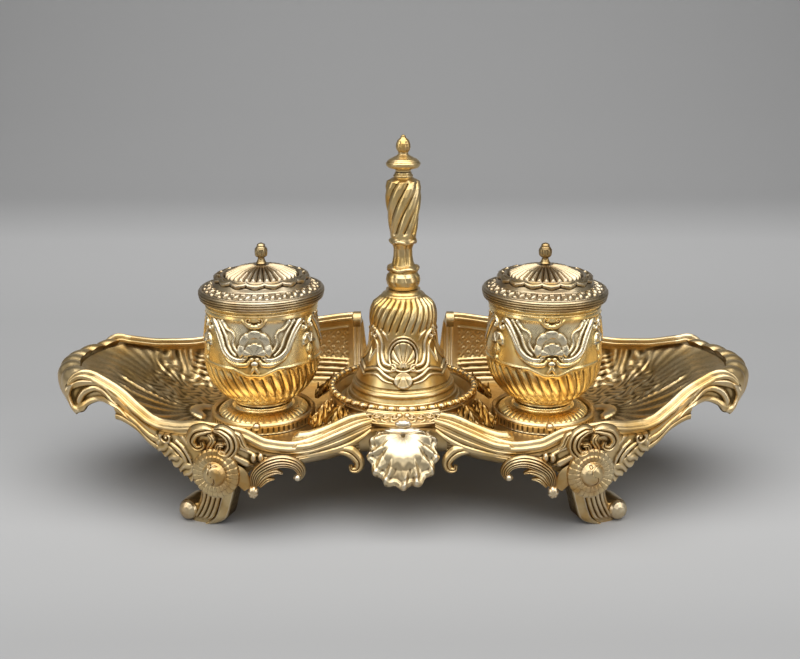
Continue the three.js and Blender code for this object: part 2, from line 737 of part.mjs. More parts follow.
// Pots, their wells and everything in them
const potBase = floorHeight + 2 * seatGap + wellFloor;
const potBodyBase = potBase + potFootHeight + seatGap;
const wellShoulderShare = 0.8;
const pearlHeightShare = 0.75;
const potFootShares = [
  [0, 0], [0.97, 0], [1, 0.19], [0.98, 0.38], [0.83, 0.69], [0.67, 0.81], [0.62, 1], [0, 1],
];
const potMouthShare = 0.983;
const potOuterShares = [
  [0, 0], [0.46, 0], [0.6, 0.05], [0.73, 0.1], [0.85, 0.175], [0.93, 0.25], [0.985, 0.35], [1, 0.45],
  [0.985, 0.6], [0.955, 0.73], [0.94, 0.83], [0.965, 0.88], [0.955, 0.93], [potMouthShare, 0.97],
  [potMouthShare, 1],
];
const linerOuterShares = [[0, 0], [0.76, 0], [0.95, 0.08], [1, 0.2], [1, 1]];
const knopShares = [
  [0.8, 0], [0.72, 0.1], [0.48, 0.2], [0.8, 0.34], [1, 0.56], [0.85, 0.78], [0.42, 0.88],
  [0.3, 0.95], [0, 1],
];
const gadroonCount = 36;
const gadroonShares = [[0, 0], [0.05, 0.6], [0.1, 1], [0.25, 1], [0.35, 0.9], [0.45, 0]];
const gadroonSwirl = 0.3;
const gadroonTopShare = 0.45;
const cartoucheCount = 3;
const potScrollShares = [
  [0.94, 0.78], [0.89, 0.825], [0.8, 0.805], [0.7, 0.75], [0.6, 0.66], [0.45, 0.57], [0.28, 0.535],
  [0.17, 0.555],
];
const potScrollTipShare = 0.6;
const potScrollSunkShare = 0.4;
const potMouth = potRadius * potMouthShare;
const linerDepth = potHeight * (1 - linerFloorShare);
const linerMouth = linerRadius - linerThickness;
const collarRadius = linerMouth - seatGap;
const collarInner = collarRadius - linerThickness;
const lidRadius = potMouth + slideGap + lidThickness;
const studHole = studRadius + seatGap;
const lidSeat = potBodyBase + potHeight + 2 * seatGap + linerLipHeight;
const lidInner = lidRadius - lidThickness;
const lidTopShares = [
  [1, 0.08], [0.96, 0.15], [0.76, 0.34], [0.74, 0.46], [0.61, 0.66], [0.55, 0.72], [0.38, 0.88],
  [0.2, 0.97], [0.13, 0.99],
];
const lidScallopShare = 0.75;
const lidScallopBandShare = 0.02;
const lidRibCount = 32;
const lidScallopCount = 16;
const lidRibShares = [[0.13, 0], [0.2, 0.7], [0.38, 1], [0.56, 0.9], [0.6, 0]];
const lidTop = scaled(lidTopShares, lidRadius, lidRiseHeight);
const lidCrownUnder = lidRiseHeight - lidThickness;
const lidUnder = insideOf(lidTop, lidThickness).slice(3).filter((_, i) => i % 2 === 0);

// One C-scroll of a cartouche, as a half-round bar on the pot, from its upper end to its volute
const potScrollOutline = outlineOf([
  [-potScrollWidth / 2, -potScrollDepth * potScrollSunkShare], [-potScrollWidth / 4, potScrollDepth],
  [potScrollWidth / 4, potScrollDepth], [potScrollWidth / 2, -potScrollDepth * potScrollSunkShare],
]);
const potWallShares = potOuterShares.slice(1).map(([radius, height]) => [height, radius]);
function potScroll(middle, hand) {
  const spots = potScrollShares.map(([swing, height]) => {
    const turn = middle + hand * swing;
    const radius = potRadius * follow(potWallShares, height);
    return new THREE.Vector3(radius * Math.cos(turn), radius * Math.sin(turn), potHeight * height);
  });
  const last = spots.length - 1;
  const stations = spots.map((origin, i) => {
    const along = spots[Math.min(i + 1, last)].clone().sub(spots[Math.max(i - 1, 0)]).normalize();
    const outwards = new THREE.Vector3(origin.x, origin.y, 0).normalize();
    const across = new THREE.Vector3().crossVectors(outwards, along).normalize();
    const up = new THREE.Vector3().crossVectors(along, across);
    return { origin, across, up, scale: i % last === 0 ? potScrollTipShare : 1 };
  });
  return sweep(potScrollOutline, stations);
}

const wellInner = potFootRadius + slideGap;
const wellOuter = wellInner + wellThickness;
const potOffsetX = standRadius + wellToStandGap + wellOuter;

for (const [side, end] of ends) {
  const x = side * potOffsetX;
  const wellShoulder = wellHeight * wellShoulderShare;
  const ring = turnedPiece([
    [0, 0], [wellOuter, 0], [wellOuter, wellShoulder], [wellInner + wellThickness / 2, wellHeight],
    [wellInner, wellShoulder], [wellInner, wellFloor], [0, wellFloor],
  ]);
  const pearl = new THREE.SphereGeometry(pearlRadius, smallFacets, smallFacets / 2).toNonIndexed();
  pearl.translate(0, -wellOuter, wellHeight * pearlHeightShare);
  add(`pot_well_${end}`, join(ring, pearl), paleGilt, x, 0, floorHeight + seatGap);

  const potFoot = turnedPiece(scaled(potFootShares, potFootRadius, potFootHeight));
  add(`pot_foot_${end}`, potFoot, richGilt, x, 0, potBase);

  const potOuter = scaled(potOuterShares, potRadius, potHeight);
  const cup = chasedPiece([...potOuter, [0, potHeight]], 2 * gadroonCount, ([, height], facet) => ({
    rise: facet % 2 === 0 ? 0 : -gadroonDepth * follow(gadroonShares, height / potHeight),
    twist: gadroonSwirl * (1 - Math.min(height / potHeight / gadroonTopShare, 1)),
  }));
  const potInner = insideOf(potOuter, potThickness).filter((_, i) => i % 2 === 0 && i > 0);
  const hollow = [[0, potThickness], ...potInner, [potMouth - potThickness, potHeight + overrun]];
  const scrolls = [];
  for (let i = 0; i < cartoucheCount; i++) {
    for (const hand of [-1, 1]) {
      scrolls.push(potScroll((i / cartoucheCount) * 2 * Math.PI - Math.PI / 2, hand));
    }
  }
  const hollowTool = turnedPiece([...hollow, [0, potHeight + overrun]]);
  add(`pot_body_${end}`, cut(join(cup, ...scrolls), hollowTool), richGilt, x, 0, potBodyBase);

  const linerOuter = scaled(linerOuterShares, linerRadius, linerDepth);
  const linerInner = insideOf(linerOuter, linerThickness).slice(1, -1).reverse();
  const lipUnder = linerDepth + seatGap;
  const lipTop = lipUnder + linerLipHeight;
  const liner = [
    ...linerOuter.slice(0, -1), [linerRadius, lipUnder], [potMouth - seatGap, lipUnder],
    [potMouth - seatGap, lipTop], [linerMouth, lipTop], ...linerInner, [0, linerThickness],
  ];
  const linerBase = potBodyBase + potHeight - linerDepth;
  add(`liner_${end}`, turnedPiece(liner), bareSilver, x, 0, linerBase);

  const cover = [[0, -lidSkirtDepth], [lidRadius, -lidSkirtDepth], ...lidTop, [0, lidRiseHeight]];
  const chasedCover = chasedPiece(cover, 2 * lidRibCount, ([radius, height], facet) => {
    const share = radius / lidRadius;
    const rib = facet % 2 === 0 ? 0 : lidRibDepth * follow(lidRibShares, share);
    const isScalloped = Math.abs(share - lidScallopShare) < lidScallopBandShare && height > 0;
    const scallopTurn = (facet / lidRibCount / 2) * lidScallopCount * 2 * Math.PI;
    const scallop = isScalloped ? lidScallopDepth * Math.cos(scallopTurn) / 2 : 0;
    return { rise: scallop - rib, twist: 0 };
  });
  const hollowLid = turnedPiece([
    [0, -lidSkirtDepth - overrun], [lidInner, -lidSkirtDepth - overrun], [lidInner, 0],
    [collarInner, 0], [collarInner, lidThickness], ...lidUnder, [0, lidCrownUnder],
  ]);
  const studBoreTool = turnedPiece([
    [0, lidThickness], [studHole, lidThickness], [studHole, lidRiseHeight + overrun],
    [0, lidRiseHeight + overrun],
  ], smallFacets);
  const collar = turnedPiece([
    [collarInner, -lidCollarDepth], [collarRadius, -lidCollarDepth], [collarRadius, lidThickness],
    [collarInner, lidThickness], [collarInner, -lidCollarDepth],
  ]);
  const lid = join(cut(chasedCover, hollowLid, studBoreTool), collar);
  add(`lid_${end}`, lid, richGilt, x, 0, lidSeat);

  const studLength = lidThickness + nutHeight + 3 * seatGap;
  const knop = turnedPiece([
    [0, -studLength], [studRadius, -studLength], [studRadius, 0],
    ...scaled(knopShares, knopRadius, knopHeight),
  ], smallFacets);
  add(`lid_knop_${end}`, knop, paleGilt, x, 0, lidSeat + lidRiseHeight + seatGap);

  const nut = turnedPiece([
    [studHole, 0], [nutRadius, 0], [nutRadius, nutHeight], [studHole, nutHeight], [studHole, 0],
  ], nutSides);
  add(`lid_nut_${end}`, nut, bareSilver, x, 0, lidSeat + lidCrownUnder - seatGap - nutHeight);
}

// Bell: a domed cup with a crown, a swirl-fluted handle bolted through it and a clapper inside
const bellBase = standBase + standHeight - dishDepth + seatGap;
const bellRadius = dishRadius - standThickness - bellToDishGap;
const crownHole = handleStudRadius + seatGap;
const bellOuterShares = [
  [1, 0], [1, 0.027], [0.95, 0.063], [0.895, 0.11], [0.785, 0.25], [0.705, 0.36], [0.595, 0.486],
  [0.575, 0.61], [0.597, 0.765], [0.55, 0.865], [0.465, 0.91], [0.3, 0.98], [0.283, 1],
];
const bellOuter = [...scaled(bellOuterShares, bellRadius, bellHeight), [crownHole, bellHeight]];
const crownUnderShare = 0.935;
const bellCrownUnder = bellHeight * crownUnderShare;
const bellInner = insideOf(bellOuter, bellThickness).slice(0, 10).filter((_, i) => i !== 1).reverse();
const bellUnderside = [[crownHole, bellCrownUnder], [hangerRadius + slideGap, bellCrownUnder]];
const bell = [...bellOuter, ...bellUnderside, ...bellInner, bellOuter[0]];
add("bell_dome", turnedPiece(bell), paleGilt, 0, 0, bellBase);

const handleBase = bellBase + bellHeight + seatGap;
const hangerTop = bellCrownUnder - bellHeight - 2 * seatGap;
const handleShares = [
  [0.92, 0], [0.93, 0.01], [0.9, 0.03], [0.96, 0.08], [0.84, 0.16], [0.65, 0.2], [0.53, 0.345],
  [0.65, 0.405], [0.72, 0.43], [0.68, 0.45], [0.8, 0.57], [0.955, 0.72], [1, 0.82], [0.9, 0.9],
  [0.55, 0.95], [0.46, 0.99], [0.46, 1], [0, 1],
];
const handleStudEnd = hangerTop - hangerPlate;
add("bell_handle", turnedPiece([
  [0, handleStudEnd], [handleStudRadius, handleStudEnd], [handleStudRadius, 0],
  ...scaled(handleShares, handleRadius, handleLength),
], smallFacets), paleGilt, 0, 0, handleBase);

const finialShares = [
  [0, 0], [0.44, 0], [0.47, 0.08], [0.97, 0.16], [1, 0.24], [0.96, 0.3], [0.58, 0.36],
  [0.3, 0.44], [0.29, 0.47], [0.42, 0.62], [0.39, 0.74], [0.19, 0.86], [0.12, 0.9],
  [0.13, 0.955], [0, 1],
];
const finial = turnedPiece(scaled(finialShares, finialRadius, finialHeight), smallFacets);
add("bell_finial", finial, paleGilt, 0, 0, handleBase + handleLength + seatGap);

// The nut on the handle's stud carries two lugs, and a pin between them carries the clapper.
const pinHole = pinRadius + seatGap;
const lugRadius = pinHole + lugMargin;
const hangerBase = handleBase + handleStudEnd;
const pinZ = hangerBase - hangerLength + lugRadius;
const lugInner = eyeThickness / 2 + seatGap;
const barAlongY = (radius, length) => new THREE.CylinderGeometry(radius, radius, length, smallFacets);
const hangerDisc = turnedPiece([
  [crownHole, 0], [hangerRadius, 0], [hangerRadius, hangerPlate], [crownHole, hangerPlate],
  [crownHole, 0],
], smallFacets).translate(0, 0, hangerBase);
const lugs = [-1, 1].map((side) => {
  const height = hangerLength + overrun - lugRadius;
  const y = side * (lugInner + lugThickness / 2);
  const stem = new THREE.BoxGeometry(2 * lugRadius, lugThickness, height);
  stem.translate(0, y, pinZ + height / 2);
  return join(stem, barAlongY(lugRadius, lugThickness).translate(0, y, pinZ));
});
const studBore = barAlongY(crownHole, 2 * hangerLength).rotateX(Math.PI / 2);
studBore.translate(0, 0, hangerBase);
const pinBore = barAlongY(pinHole, 4 * hangerRadius).translate(0, 0, pinZ);
add("clapper_hanger", cut(join(hangerDisc, ...lugs), studBore, pinBore), bareSilver);

const pinLength = 2 * (lugInner + lugThickness + seatGap);
add("clapper_pin", barAlongY(pinRadius, pinLength), bareSilver, 0, 0, pinZ);

const eye = barAlongY(lugRadius, eyeThickness).translate(0, 0, pinZ);
const rod = turnedPiece([
  [0, -clapperLength], [clapperRodRadius, -clapperLength], [clapperRodRadius, -pinHole],
  [0, -pinHole],
], smallFacets).translate(0, 0, pinZ);
const ball = new THREE.SphereGeometry(clapperRadius, smallFacets, smallFacets / 2);
ball.rotateX(Math.PI / 2).translate(0, 0, pinZ - clapperLength);
add("clapper", cut(join(eye, rod, ball), pinBore), bareSilver);

export default inkstand;
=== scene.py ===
# A silver-gilt inkstand: a boat-shaped tray on four scroll feet, with two lidded pots in their wells
# and a table bell on a raised stand. Each section makes one piece as a smith would, in millimetres
# that become metres when its mesh is made.

import functools

import bpy
import numpy as np
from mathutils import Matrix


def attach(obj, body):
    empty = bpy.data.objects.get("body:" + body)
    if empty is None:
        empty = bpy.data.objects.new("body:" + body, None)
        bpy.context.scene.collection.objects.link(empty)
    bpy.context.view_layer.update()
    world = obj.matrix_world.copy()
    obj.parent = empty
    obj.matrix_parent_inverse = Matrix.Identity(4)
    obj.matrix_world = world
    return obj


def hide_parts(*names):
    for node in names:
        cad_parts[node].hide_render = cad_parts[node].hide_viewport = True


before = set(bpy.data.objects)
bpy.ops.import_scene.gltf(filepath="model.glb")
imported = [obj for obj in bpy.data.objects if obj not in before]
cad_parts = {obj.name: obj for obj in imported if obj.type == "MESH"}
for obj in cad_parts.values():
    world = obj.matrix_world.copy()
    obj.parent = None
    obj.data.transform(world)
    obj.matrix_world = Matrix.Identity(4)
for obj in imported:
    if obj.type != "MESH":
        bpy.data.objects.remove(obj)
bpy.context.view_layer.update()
MM = 0.001
scene = bpy.context.scene
scene.view_settings.view_transform = "Standard"


# Camera: a view camera half a metre before the inkstand, a little above its bell. It tips down
# slightly and its film is shifted for the rest, which keeps the upright lines upright.
camera_distance = 500
camera_height = 222
camera_tip = 0.129
camera_data = bpy.data.cameras.new("camera")
camera_data.sensor_width = 36
camera_data.lens = 46.3
camera_data.shift_x = -0.004
camera_data.shift_y = -0.2
camera = bpy.data.objects.new("camera", camera_data)
camera.location = (0, -camera_distance * MM, camera_height * MM)
camera.rotation_euler = (np.pi / 2 - camera_tip, 0, 0)
scene.collection.objects.link(camera)
scene.camera = camera


# Studio floor: pale grey paper that lies flat, then sweeps up behind the inkstand without a corner.
# Its grey is painted darker before and just behind the inkstand, as painted shade, and paler far back
# where it sweeps up, as painted light.
floor_front, floor_back, floor_rise, floor_half_width, sweep_radius = 1300, 900, 1600, 2400, 500


def linear(colour):
    """A scene colour from an sRGB hex value."""
    shares = [int(colour[i:i + 2], 16) / 255 for i in (0, 2, 4)]
    return [s / 12.92 if s <= 0.04045 else ((s + 0.055) / 1.055) ** 2.4 for s in shares] + [1]


def node(tree, kind, values=(), links=(), **settings):
    """One shader node with its settings, its input values and the outputs that feed it."""
    made = tree.nodes.new("ShaderNode" + kind)
    for name, value in settings.items():
        setattr(made, name, value)
    for name, value in dict(values).items():
        made.inputs[name].default_value = value
    for name, source in dict(links).items():
        tree.links.new(source, made.inputs[name])
    return made


def ramp(tree, source, stops):
    """A colour ramp fed by source, with its stops as [place, colour]."""
    made = node(tree, "ValToRGB", links={"Fac": source})
    elements = made.color_ramp.elements
    while len(elements) < len(stops):
        elements.new(1)
    for element, (place, colour) in zip(elements, stops):
        element.position = place
        element.color = linear(colour) if isinstance(colour, str) else (colour,) * 3 + (1,)
    return made.outputs["Color"]


def faces_of(rows, columns, wrap_rows=False, wrap_columns=False):
    """The four-sided faces of a grid of points, closed round on itself where it wraps."""
    i = np.arange(rows if wrap_rows else rows - 1)
    j = np.arange(columns if wrap_columns else columns - 1)
    i, j = np.meshgrid(i, j, indexing="ij")
    down, over = (i + 1) % rows, (j + 1) % columns
    corners = (i * columns + j, down * columns + j, down * columns + over, i * columns + over)
    return np.stack(corners, -1).reshape(-1, 4)


def made_mesh(name, points, faces):
    """A smooth-shaded object from points in millimetres and four-sided faces."""
    mesh = bpy.data.meshes.new(name)
    mesh.vertices.add(len(points))
    mesh.vertices.foreach_set("co", (np.asarray(points) * MM).astype(np.float32).ravel())
    mesh.loops.add(faces.size)
    mesh.loops.foreach_set("vertex_index", faces.astype(np.int32).ravel())
    mesh.polygons.add(len(faces))
    mesh.polygons.foreach_set("loop_start", np.arange(0, faces.size, 4, dtype=np.int32))
    mesh.polygons.foreach_set("use_smooth", np.ones(len(faces), bool))
    mesh.update(calc_edges=True)
    made = bpy.data.objects.new(name, mesh)
    scene.collection.objects.link(made)
    return made


turns = np.linspace(0, np.pi / 2, 16)
run = [[-floor_front, 0], [0, 0]]
run += [[floor_back + sweep_radius * np.sin(t), sweep_radius * (1 - np.cos(t))] for t in turns]
run += [[floor_back + sweep_radius, floor_rise]]
paper_points = [[x, y, z] for y, z in run for x in (-floor_half_width, floor_half_width)]
floor = made_mesh("studio_floor", paper_points, faces_of(len(run), 2))
paper = bpy.data.materials.new("studio_paper_grey")
paper.use_nodes = True
tree = paper.node_tree
surface = tree.nodes["Principled BSDF"]
surface.inputs["Roughness"].default_value = 0.9
surface.inputs["Specular IOR Level"].default_value = 0.15
place = node(tree, "NewGeometry").outputs["Position"]
depth = node(tree, "SeparateXYZ", links={"Vector": place}).outputs["Y"]
# Painted shade and painted light: the paper's grey changes with distance back in place of the lamps'
# fall-off and the inkstand's shadow behind it.
grey_start, grey_end = -200 * MM, 1200 * MM
span = node(tree, "MapRange", {"From Min": grey_start, "From Max": grey_end}, {"Value": depth})
painted_light_greys = [[0.04, "9a9a9a"], [0.065, "a1a1a1"], [0.1, "a6a6a6"], [0.13, "a6a6a6"], [0.18, "9d9d9d"],
         [0.23, "9b9b9b"], [0.35, "a4a4a4"], [0.58, "c2c2c2"], [1, "b9b9b9"]]
tree.links.new(ramp(tree, span.outputs[0], painted_light_greys), surface.inputs["Base Color"])
floor.data.materials.append(paper)


# Lamps: one broad soft box above, a narrow one at each side and a weak one high behind the camera.
# The room around them is dim, so that the gilding has dark as well as bright things to mirror.
def soft_box(name, place, aim, width, height, watts):
    """A rectangular lamp at a place, turned to face a point, in millimetres."""
    data = bpy.data.lights.new(name, "AREA")
    data.shape = "RECTANGLE"
    data.size, data.size_y, data.energy = width * MM, height * MM, watts
    lamp = bpy.data.objects.new(name, data)
    lamp.location = np.array(place) * MM
    way = np.array(aim, float) - place
    flat = np.hypot(way[0], way[1])
    lamp.rotation_euler = (np.arctan2(flat, -way[2]), 0, np.arctan2(-way[0], way[1]))
    scene.collection.objects.link(lamp)


middle = (0, 0, 80)
soft_box("top_box", (0, -300, 1000), middle, 1800, 1300, 24)
for side, name in ((-1, "left_box"), (1, "right_box")):
    soft_box(name, (side * 950, -520, 330), middle, 300, 700, 1.7)
soft_box("front_box", (0, -1250, 460), middle, 900, 300, 1.2)
world = bpy.data.worlds.new("dim_room")
world.use_nodes = True
scene.world = world
tree = world.node_tree
way = node(tree, "TexCoord").outputs["Generated"]
rise = node(tree, "SeparateXYZ", links={"Vector": way}).outputs["Z"]
room = ramp(tree, rise, [[0, "707070"], [0.25, "b8b8b8"], [0.6, "a0a0a0"], [1, "8c8c8c"]])
tree.links.new(room, tree.nodes["Background"].inputs["Color"])
# The paper gets only a tenth of the room's light, so the inkstand keeps its soft shadow on it.
mirrored_light, paper_light = 0.85, 0.08
matte = node(tree, "LightPath").outputs["Is Diffuse Ray"]
strength = node(tree, "MapRange", {"To Min": mirrored_light, "To Max": paper_light}, {"Value": matte})
tree.links.new(strength.outputs[0], tree.nodes["Background"].inputs["Strength"])


# Tray: one sheet of silver raised into a boat with curling ends, chased from both sides and gilt.
# Flutes and foliage are chased in its two pen hollows, and reeds and a trellis on its back wall.
edge_length, half_depth, tray_wall = 292, 60.5, 2
floor_height, front_rise, back_rise, end_rise = 31.5, 15, 34, 29
front_cove, back_cove, end_bow, bow_start_share = 7.5, 17, 14, 0.62
half_edge = edge_length / 2
front_depth_shares = [
    [0, 0.7554], [0.14, 0.7704], [0.25, 0.92], [0.35, 1], [0.49, 1], [0.62, 0.93],
    [0.73, 0.81], [0.83, 0.69], [0.91, 0.58], [1, 0.484],
]
back_depth_shares = [
    [0, 0.9], [0.15, 0.94], [0.34, 1], [0.49, 1], [0.62, 0.95],
    [0.73, 0.85], [0.83, 0.74], [0.91, 0.62], [1, 0.484],
]
front_edge_shares = [
    [0, 0.77], [0.14, 0.77], [0.25, 0.6], [0.34, 0.47], [0.42, 0.56], [0.51, 0.93], [0.62, 1],
    [0.7, 0.87], [0.75, 0.84], [0.79, 0.91], [0.84, 1.16], [0.91, 1.57], [1, 1.933],
]
back_edge_shares = [
    [0, 0.5], [0.137, 0.5], [0.157, 1], [0.32, 0.9], [0.49, 0.78], [0.62, 0.7],
    [0.78, 0.65], [0.9, 0.72], [1, 0.853],
]
floor_shares = [[0, 0], [0.66, 0], [0.76, 0.13], [0.86, 0.47], [0.94, 0.83], [1, 1]]


def follow(table, place):
    """A smooth value between the places of a table, which never overshoots them."""
    xs, ys = np.array(table, float).T
    rises = np.diff(ys) / np.diff(xs)
    before, after = rises[:-1], rises[1:]
    same_way = before * after > 0
    total = np.where(same_way, before + after, 1)
    slopes = np.concatenate((rises[:1], np.where(same_way, 2 * before * after / total, 0), rises[-1:]))
    place = np.clip(place, xs[0], xs[-1])
    i = np.clip(np.searchsorted(xs, place) - 1, 0, len(xs) - 2)
    span = xs[i + 1] - xs[i]
    t = (place - xs[i]) / span
    bend = t * t * (3 - 2 * t)
    pull = span * t * (1 - t) * ((1 - t) * slopes[i] - t * slopes[i + 1])
    return ys[i] + (ys[i + 1] - ys[i]) * bend + pull


def share_at(x):
    return np.minimum(np.abs(x) / half_edge, 1)


def edge_y(x, face):
    table = front_depth_shares if face < 0 else back_depth_shares
    return face * half_depth * follow(table, share_at(x))


def edge_z(x, face):
    table, rise = (front_edge_shares, front_rise) if face < 0 else (back_edge_shares, back_rise)
    return floor_height + rise * follow(table, share_at(x))


def floor_z(x):
    return floor_height + end_rise * follow(floor_shares, share_at(x))


def normals_of(grid):
    """The normal at each point of a grid, from its neighbours."""
    along = np.gradient(grid, axis=0)
    across = np.gradient(grid, axis=1)
    normal = np.cross(along, across)
    return normal / np.maximum(np.linalg.norm(normal, axis=-1, keepdims=True), 1e-9)


def softened(heights, spread, wrap=False):
    """Heights averaged over a square of 2 * spread + 1 points."""
    for axis in (0, 1):
        pad = [(spread + 1, spread) if a == axis else (0, 0) for a in (0, 1)]
        mode = "wrap" if wrap and axis == 0 else "edge"
        total = np.cumsum(np.pad(heights, pad, mode=mode), axis=axis)
        size = heights.shape[axis]
        far = np.take(total, np.arange(2 * spread + 1, 2 * spread + 1 + size), axis=axis)
        near = np.take(total, np.arange(size), axis=axis)
        heights = (far - near) / (2 * spread + 1)
    return heights


def exposure(heights, depth, spread=6, wrap=False):
    """How far each point stands above what surrounds it: 0 in a recess, 0.5 on the flat, 1 on top."""
    return np.clip(0.5 + (heights - softened(heights, spread, wrap)) / (2 * depth), 0, 1)


def bead(distance, half_width):
    """A half-round ridge by the distance from its middle."""
    return np.sqrt(np.clip(1 - (distance / half_width) ** 2, 0, 1))


def step(low, high, value):
    """0 below low, 1 above high and a smooth rise between them."""
    t = np.clip((value - low) / (high - low), 0, 1)
    return t * t * (3 - 2 * t)


def between(value, low, above_low, below_high, high):
    """1 from above_low to below_high, and smoothly down to 0 at low and at high."""
    return step(low, above_low, value) * step(high, below_high, value)


def plate(front, back, relief):
    """A closed sheet between two grids of points: its points, faces and exposure."""
    rows, columns = front.shape[:2]
    below = rows * columns
    top = faces_of(rows, columns)
    faces = [top, top[:, ::-1] + below]
    rim = np.concatenate((
        np.arange(columns), np.arange(1, rows) * columns + columns - 1,
        (rows - 1) * columns + np.arange(columns - 2, -1, -1), np.arange(rows - 2, -1, -1) * columns,
    ))
    faces.append(np.stack((rim[:-1], rim[1:], rim[1:] + below, rim[:-1] + below), -1))
    points = np.concatenate((front.reshape(-1, 3), back.reshape(-1, 3)))
    return points, np.vstack(faces), np.tile(relief.ravel(), 2)


def painted(made, field_name, values):
    """A value for each point of a piece, which its material reads by name."""
    field = made.data.attributes.new(field_name, "FLOAT", "POINT")
    field.data.foreach_set("value", np.asarray(values, np.float32).ravel())


def piece(name, parts, material, body, slot, *nodes):
    """One object from parts of points, faces and exposure, that rides a body and replaces nodes."""
    count, all_points, all_faces, reliefs = 0, [], [], []
    for points, faces, relief in parts:
        a, b, c = (points[faces[:, i]] for i in (0, 1, 2))
        d = points[faces[:, 3]]
        volume = np.einsum("ij,ij->i", a, np.cross(b, c) + np.cross(c, d)).sum()
        all_faces.append((faces if volume > 0 else faces[:, ::-1]) + count)
        all_points.append(points)
        reliefs.append(relief)
        count += len(points)
    made = made_mesh(name, np.concatenate(all_points), np.vstack(all_faces))
    made.data.set_sharp_from_angle(angle=0.9)
    painted(made, "relief", np.concatenate(reliefs))
    made.data.materials.append(material)
    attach(made, body)
    if nodes:
        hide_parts(*nodes)
    return made


def gilt_silver(name, gold, warm, worn, tarnish_and_shade, wear, roughness):
    """Gilding over silver: rubbed pale on what stands out, brown in recesses with patina and painted
    shade, patchy between.
    """
    made = bpy.data.materials.new(name)
    made.use_nodes = True
    tree = made.node_tree
    surface = tree.nodes["Principled BSDF"]
    surface.inputs["Metallic"].default_value = 1
    relief = node(tree, "Attribute", attribute_name="relief").outputs["Fac"]
    thin = node(tree, "Attribute", attribute_name="rubbed").outputs["Fac"]
    place = node(tree, "TexCoord").outputs["Object"]

    def noise(size, detail, roughness=0.5):
        values = {"Scale": 1 / size, "Detail": detail, "Roughness": roughness}
        return node(tree, "TexNoise", values, {"Vector": place}).outputs["Fac"]

    def ranged(source, values, **settings):
        return node(tree, "MapRange", values, {"Value": source}, **settings).outputs[0]

    def counted(operation, values, links, **settings):
        return node(tree, "Math", values, links, operation=operation, **settings).outputs[0]

    def mixed(colours, links):
        colours = {name: linear(colour) for name, colour in colours.items()}
        return node(tree, "Mix", colours, links, data_type="RGBA").outputs["Result"]

    patch, hand = noise(14 * MM, 3), noise(1.4 * MM, 2)
    patchy = ramp(tree, patch, [[0.42, 0.0], [0.62, 1.0]])
    tones = mixed({"A": gold, "B": warm}, {"Factor": patchy})
    unevenness = ranged(hand, {"To Min": -0.1, "To Max": 0.1})
    height = counted("ADD", (), {0: relief, 1: unevenness})
    # It is rubbed off what stands out, then where cloths and hands go
    rubbed = ranged(height, {"From Min": 0.52, "From Max": 0.9, "To Max": wear},
                    interpolation_type="SMOOTHSTEP")
    cloth = noise(34 * MM, 4, 0.7)
    polished = ranged(cloth, {"From Min": 0.48, "From Max": 0.72, "To Max": 0.5})
    handled = counted("MULTIPLY_ADD", {1: 0.85}, {0: thin, 2: rubbed})
    bare = counted("ADD", (), {0: handled, 1: polished}, use_clamp=True)
    bright = mixed({"B": worn}, {"Factor": bare, "A": tones})
    # Recesses turn towards the dark brown: patina the silver-gilt has there, and painted shade laid
    # over it to deepen the hollows.
    patina_and_painted_shade = ranged(height, {"From Min": 0.49, "From Max": 0.16, "To Max": 0.94},
                  interpolation_type="SMOOTHSTEP")
    whole = mixed({"B": tarnish_and_shade}, {"Factor": patina_and_painted_shade, "A": bright})
    tree.links.new(whole, surface.inputs["Base Color"])
    dull = ranged(patch, {"To Min": roughness - 0.07, "To Max": roughness + 0.1})
    duller = counted("MULTIPLY_ADD", {1: 0.25}, {0: patina_and_painted_shade, 2: dull})
    tree.links.new(duller, surface.inputs["Roughness"])
    tooling = node(tree, "Bump", {"Strength": 0.35, "Distance": 0.12 * MM}, {"Height": hand})
    tree.links.new(tooling.outputs["Normal"], surface.inputs["Normal"])
    return made


# The tray's gilding is pale and rubbed: champagne on the flats, silvery where hands reach it.
tray_gilt = gilt_silver(
    "gilt_silver_pale_chased", "d6bb88", "c7a568", "e2d1b0", "54401e", wear=0.6, roughness=0.3)
of_tray = (tray_gilt, "tray", "tray_gilding")

column_count, cove_count, floor_count = 561, 44, 130
x = np.linspace(-half_edge, half_edge, column_count)[:, None]
rise_turns = np.linspace(0, np.pi / 2, cove_count, endpoint=False)
front, back, low = edge_y(x, -1), edge_y(x, 1), floor_z(x)
front_y = front + front_cove * (1 - np.cos(rise_turns))
front_z = edge_z(x, -1) - (edge_z(x, -1) - low) * np.sin(rise_turns)
back_turns = np.linspace(np.pi / 2, 0, 2 * cove_count + 1)[1:]
back_y = back - back_cove * (1 - np.cos(back_turns))
back_z = edge_z(x, 1) - (edge_z(x, 1) - low) * np.sin(back_turns)
flat_share = np.linspace(0, 1, floor_count)
flat_y = front + front_cove + (back - back_cove - front - front_cove) * flat_share
y = np.concatenate((front_y, flat_y, back_y), 1)
z = np.concatenate((front_z, low + 0 * flat_y, back_z), 1)
across = (2 * y - front - back) / (back - front)
reach = np.maximum(share_at(x) - bow_start_share, 0) / (1 - bow_start_share)
base = np.stack((x + np.sign(x) * end_bow * reach ** 2 * (1 - across ** 2), y, z), -1)
ax, ay, az = np.abs(base[..., 0]), base[..., 1], base[..., 2]

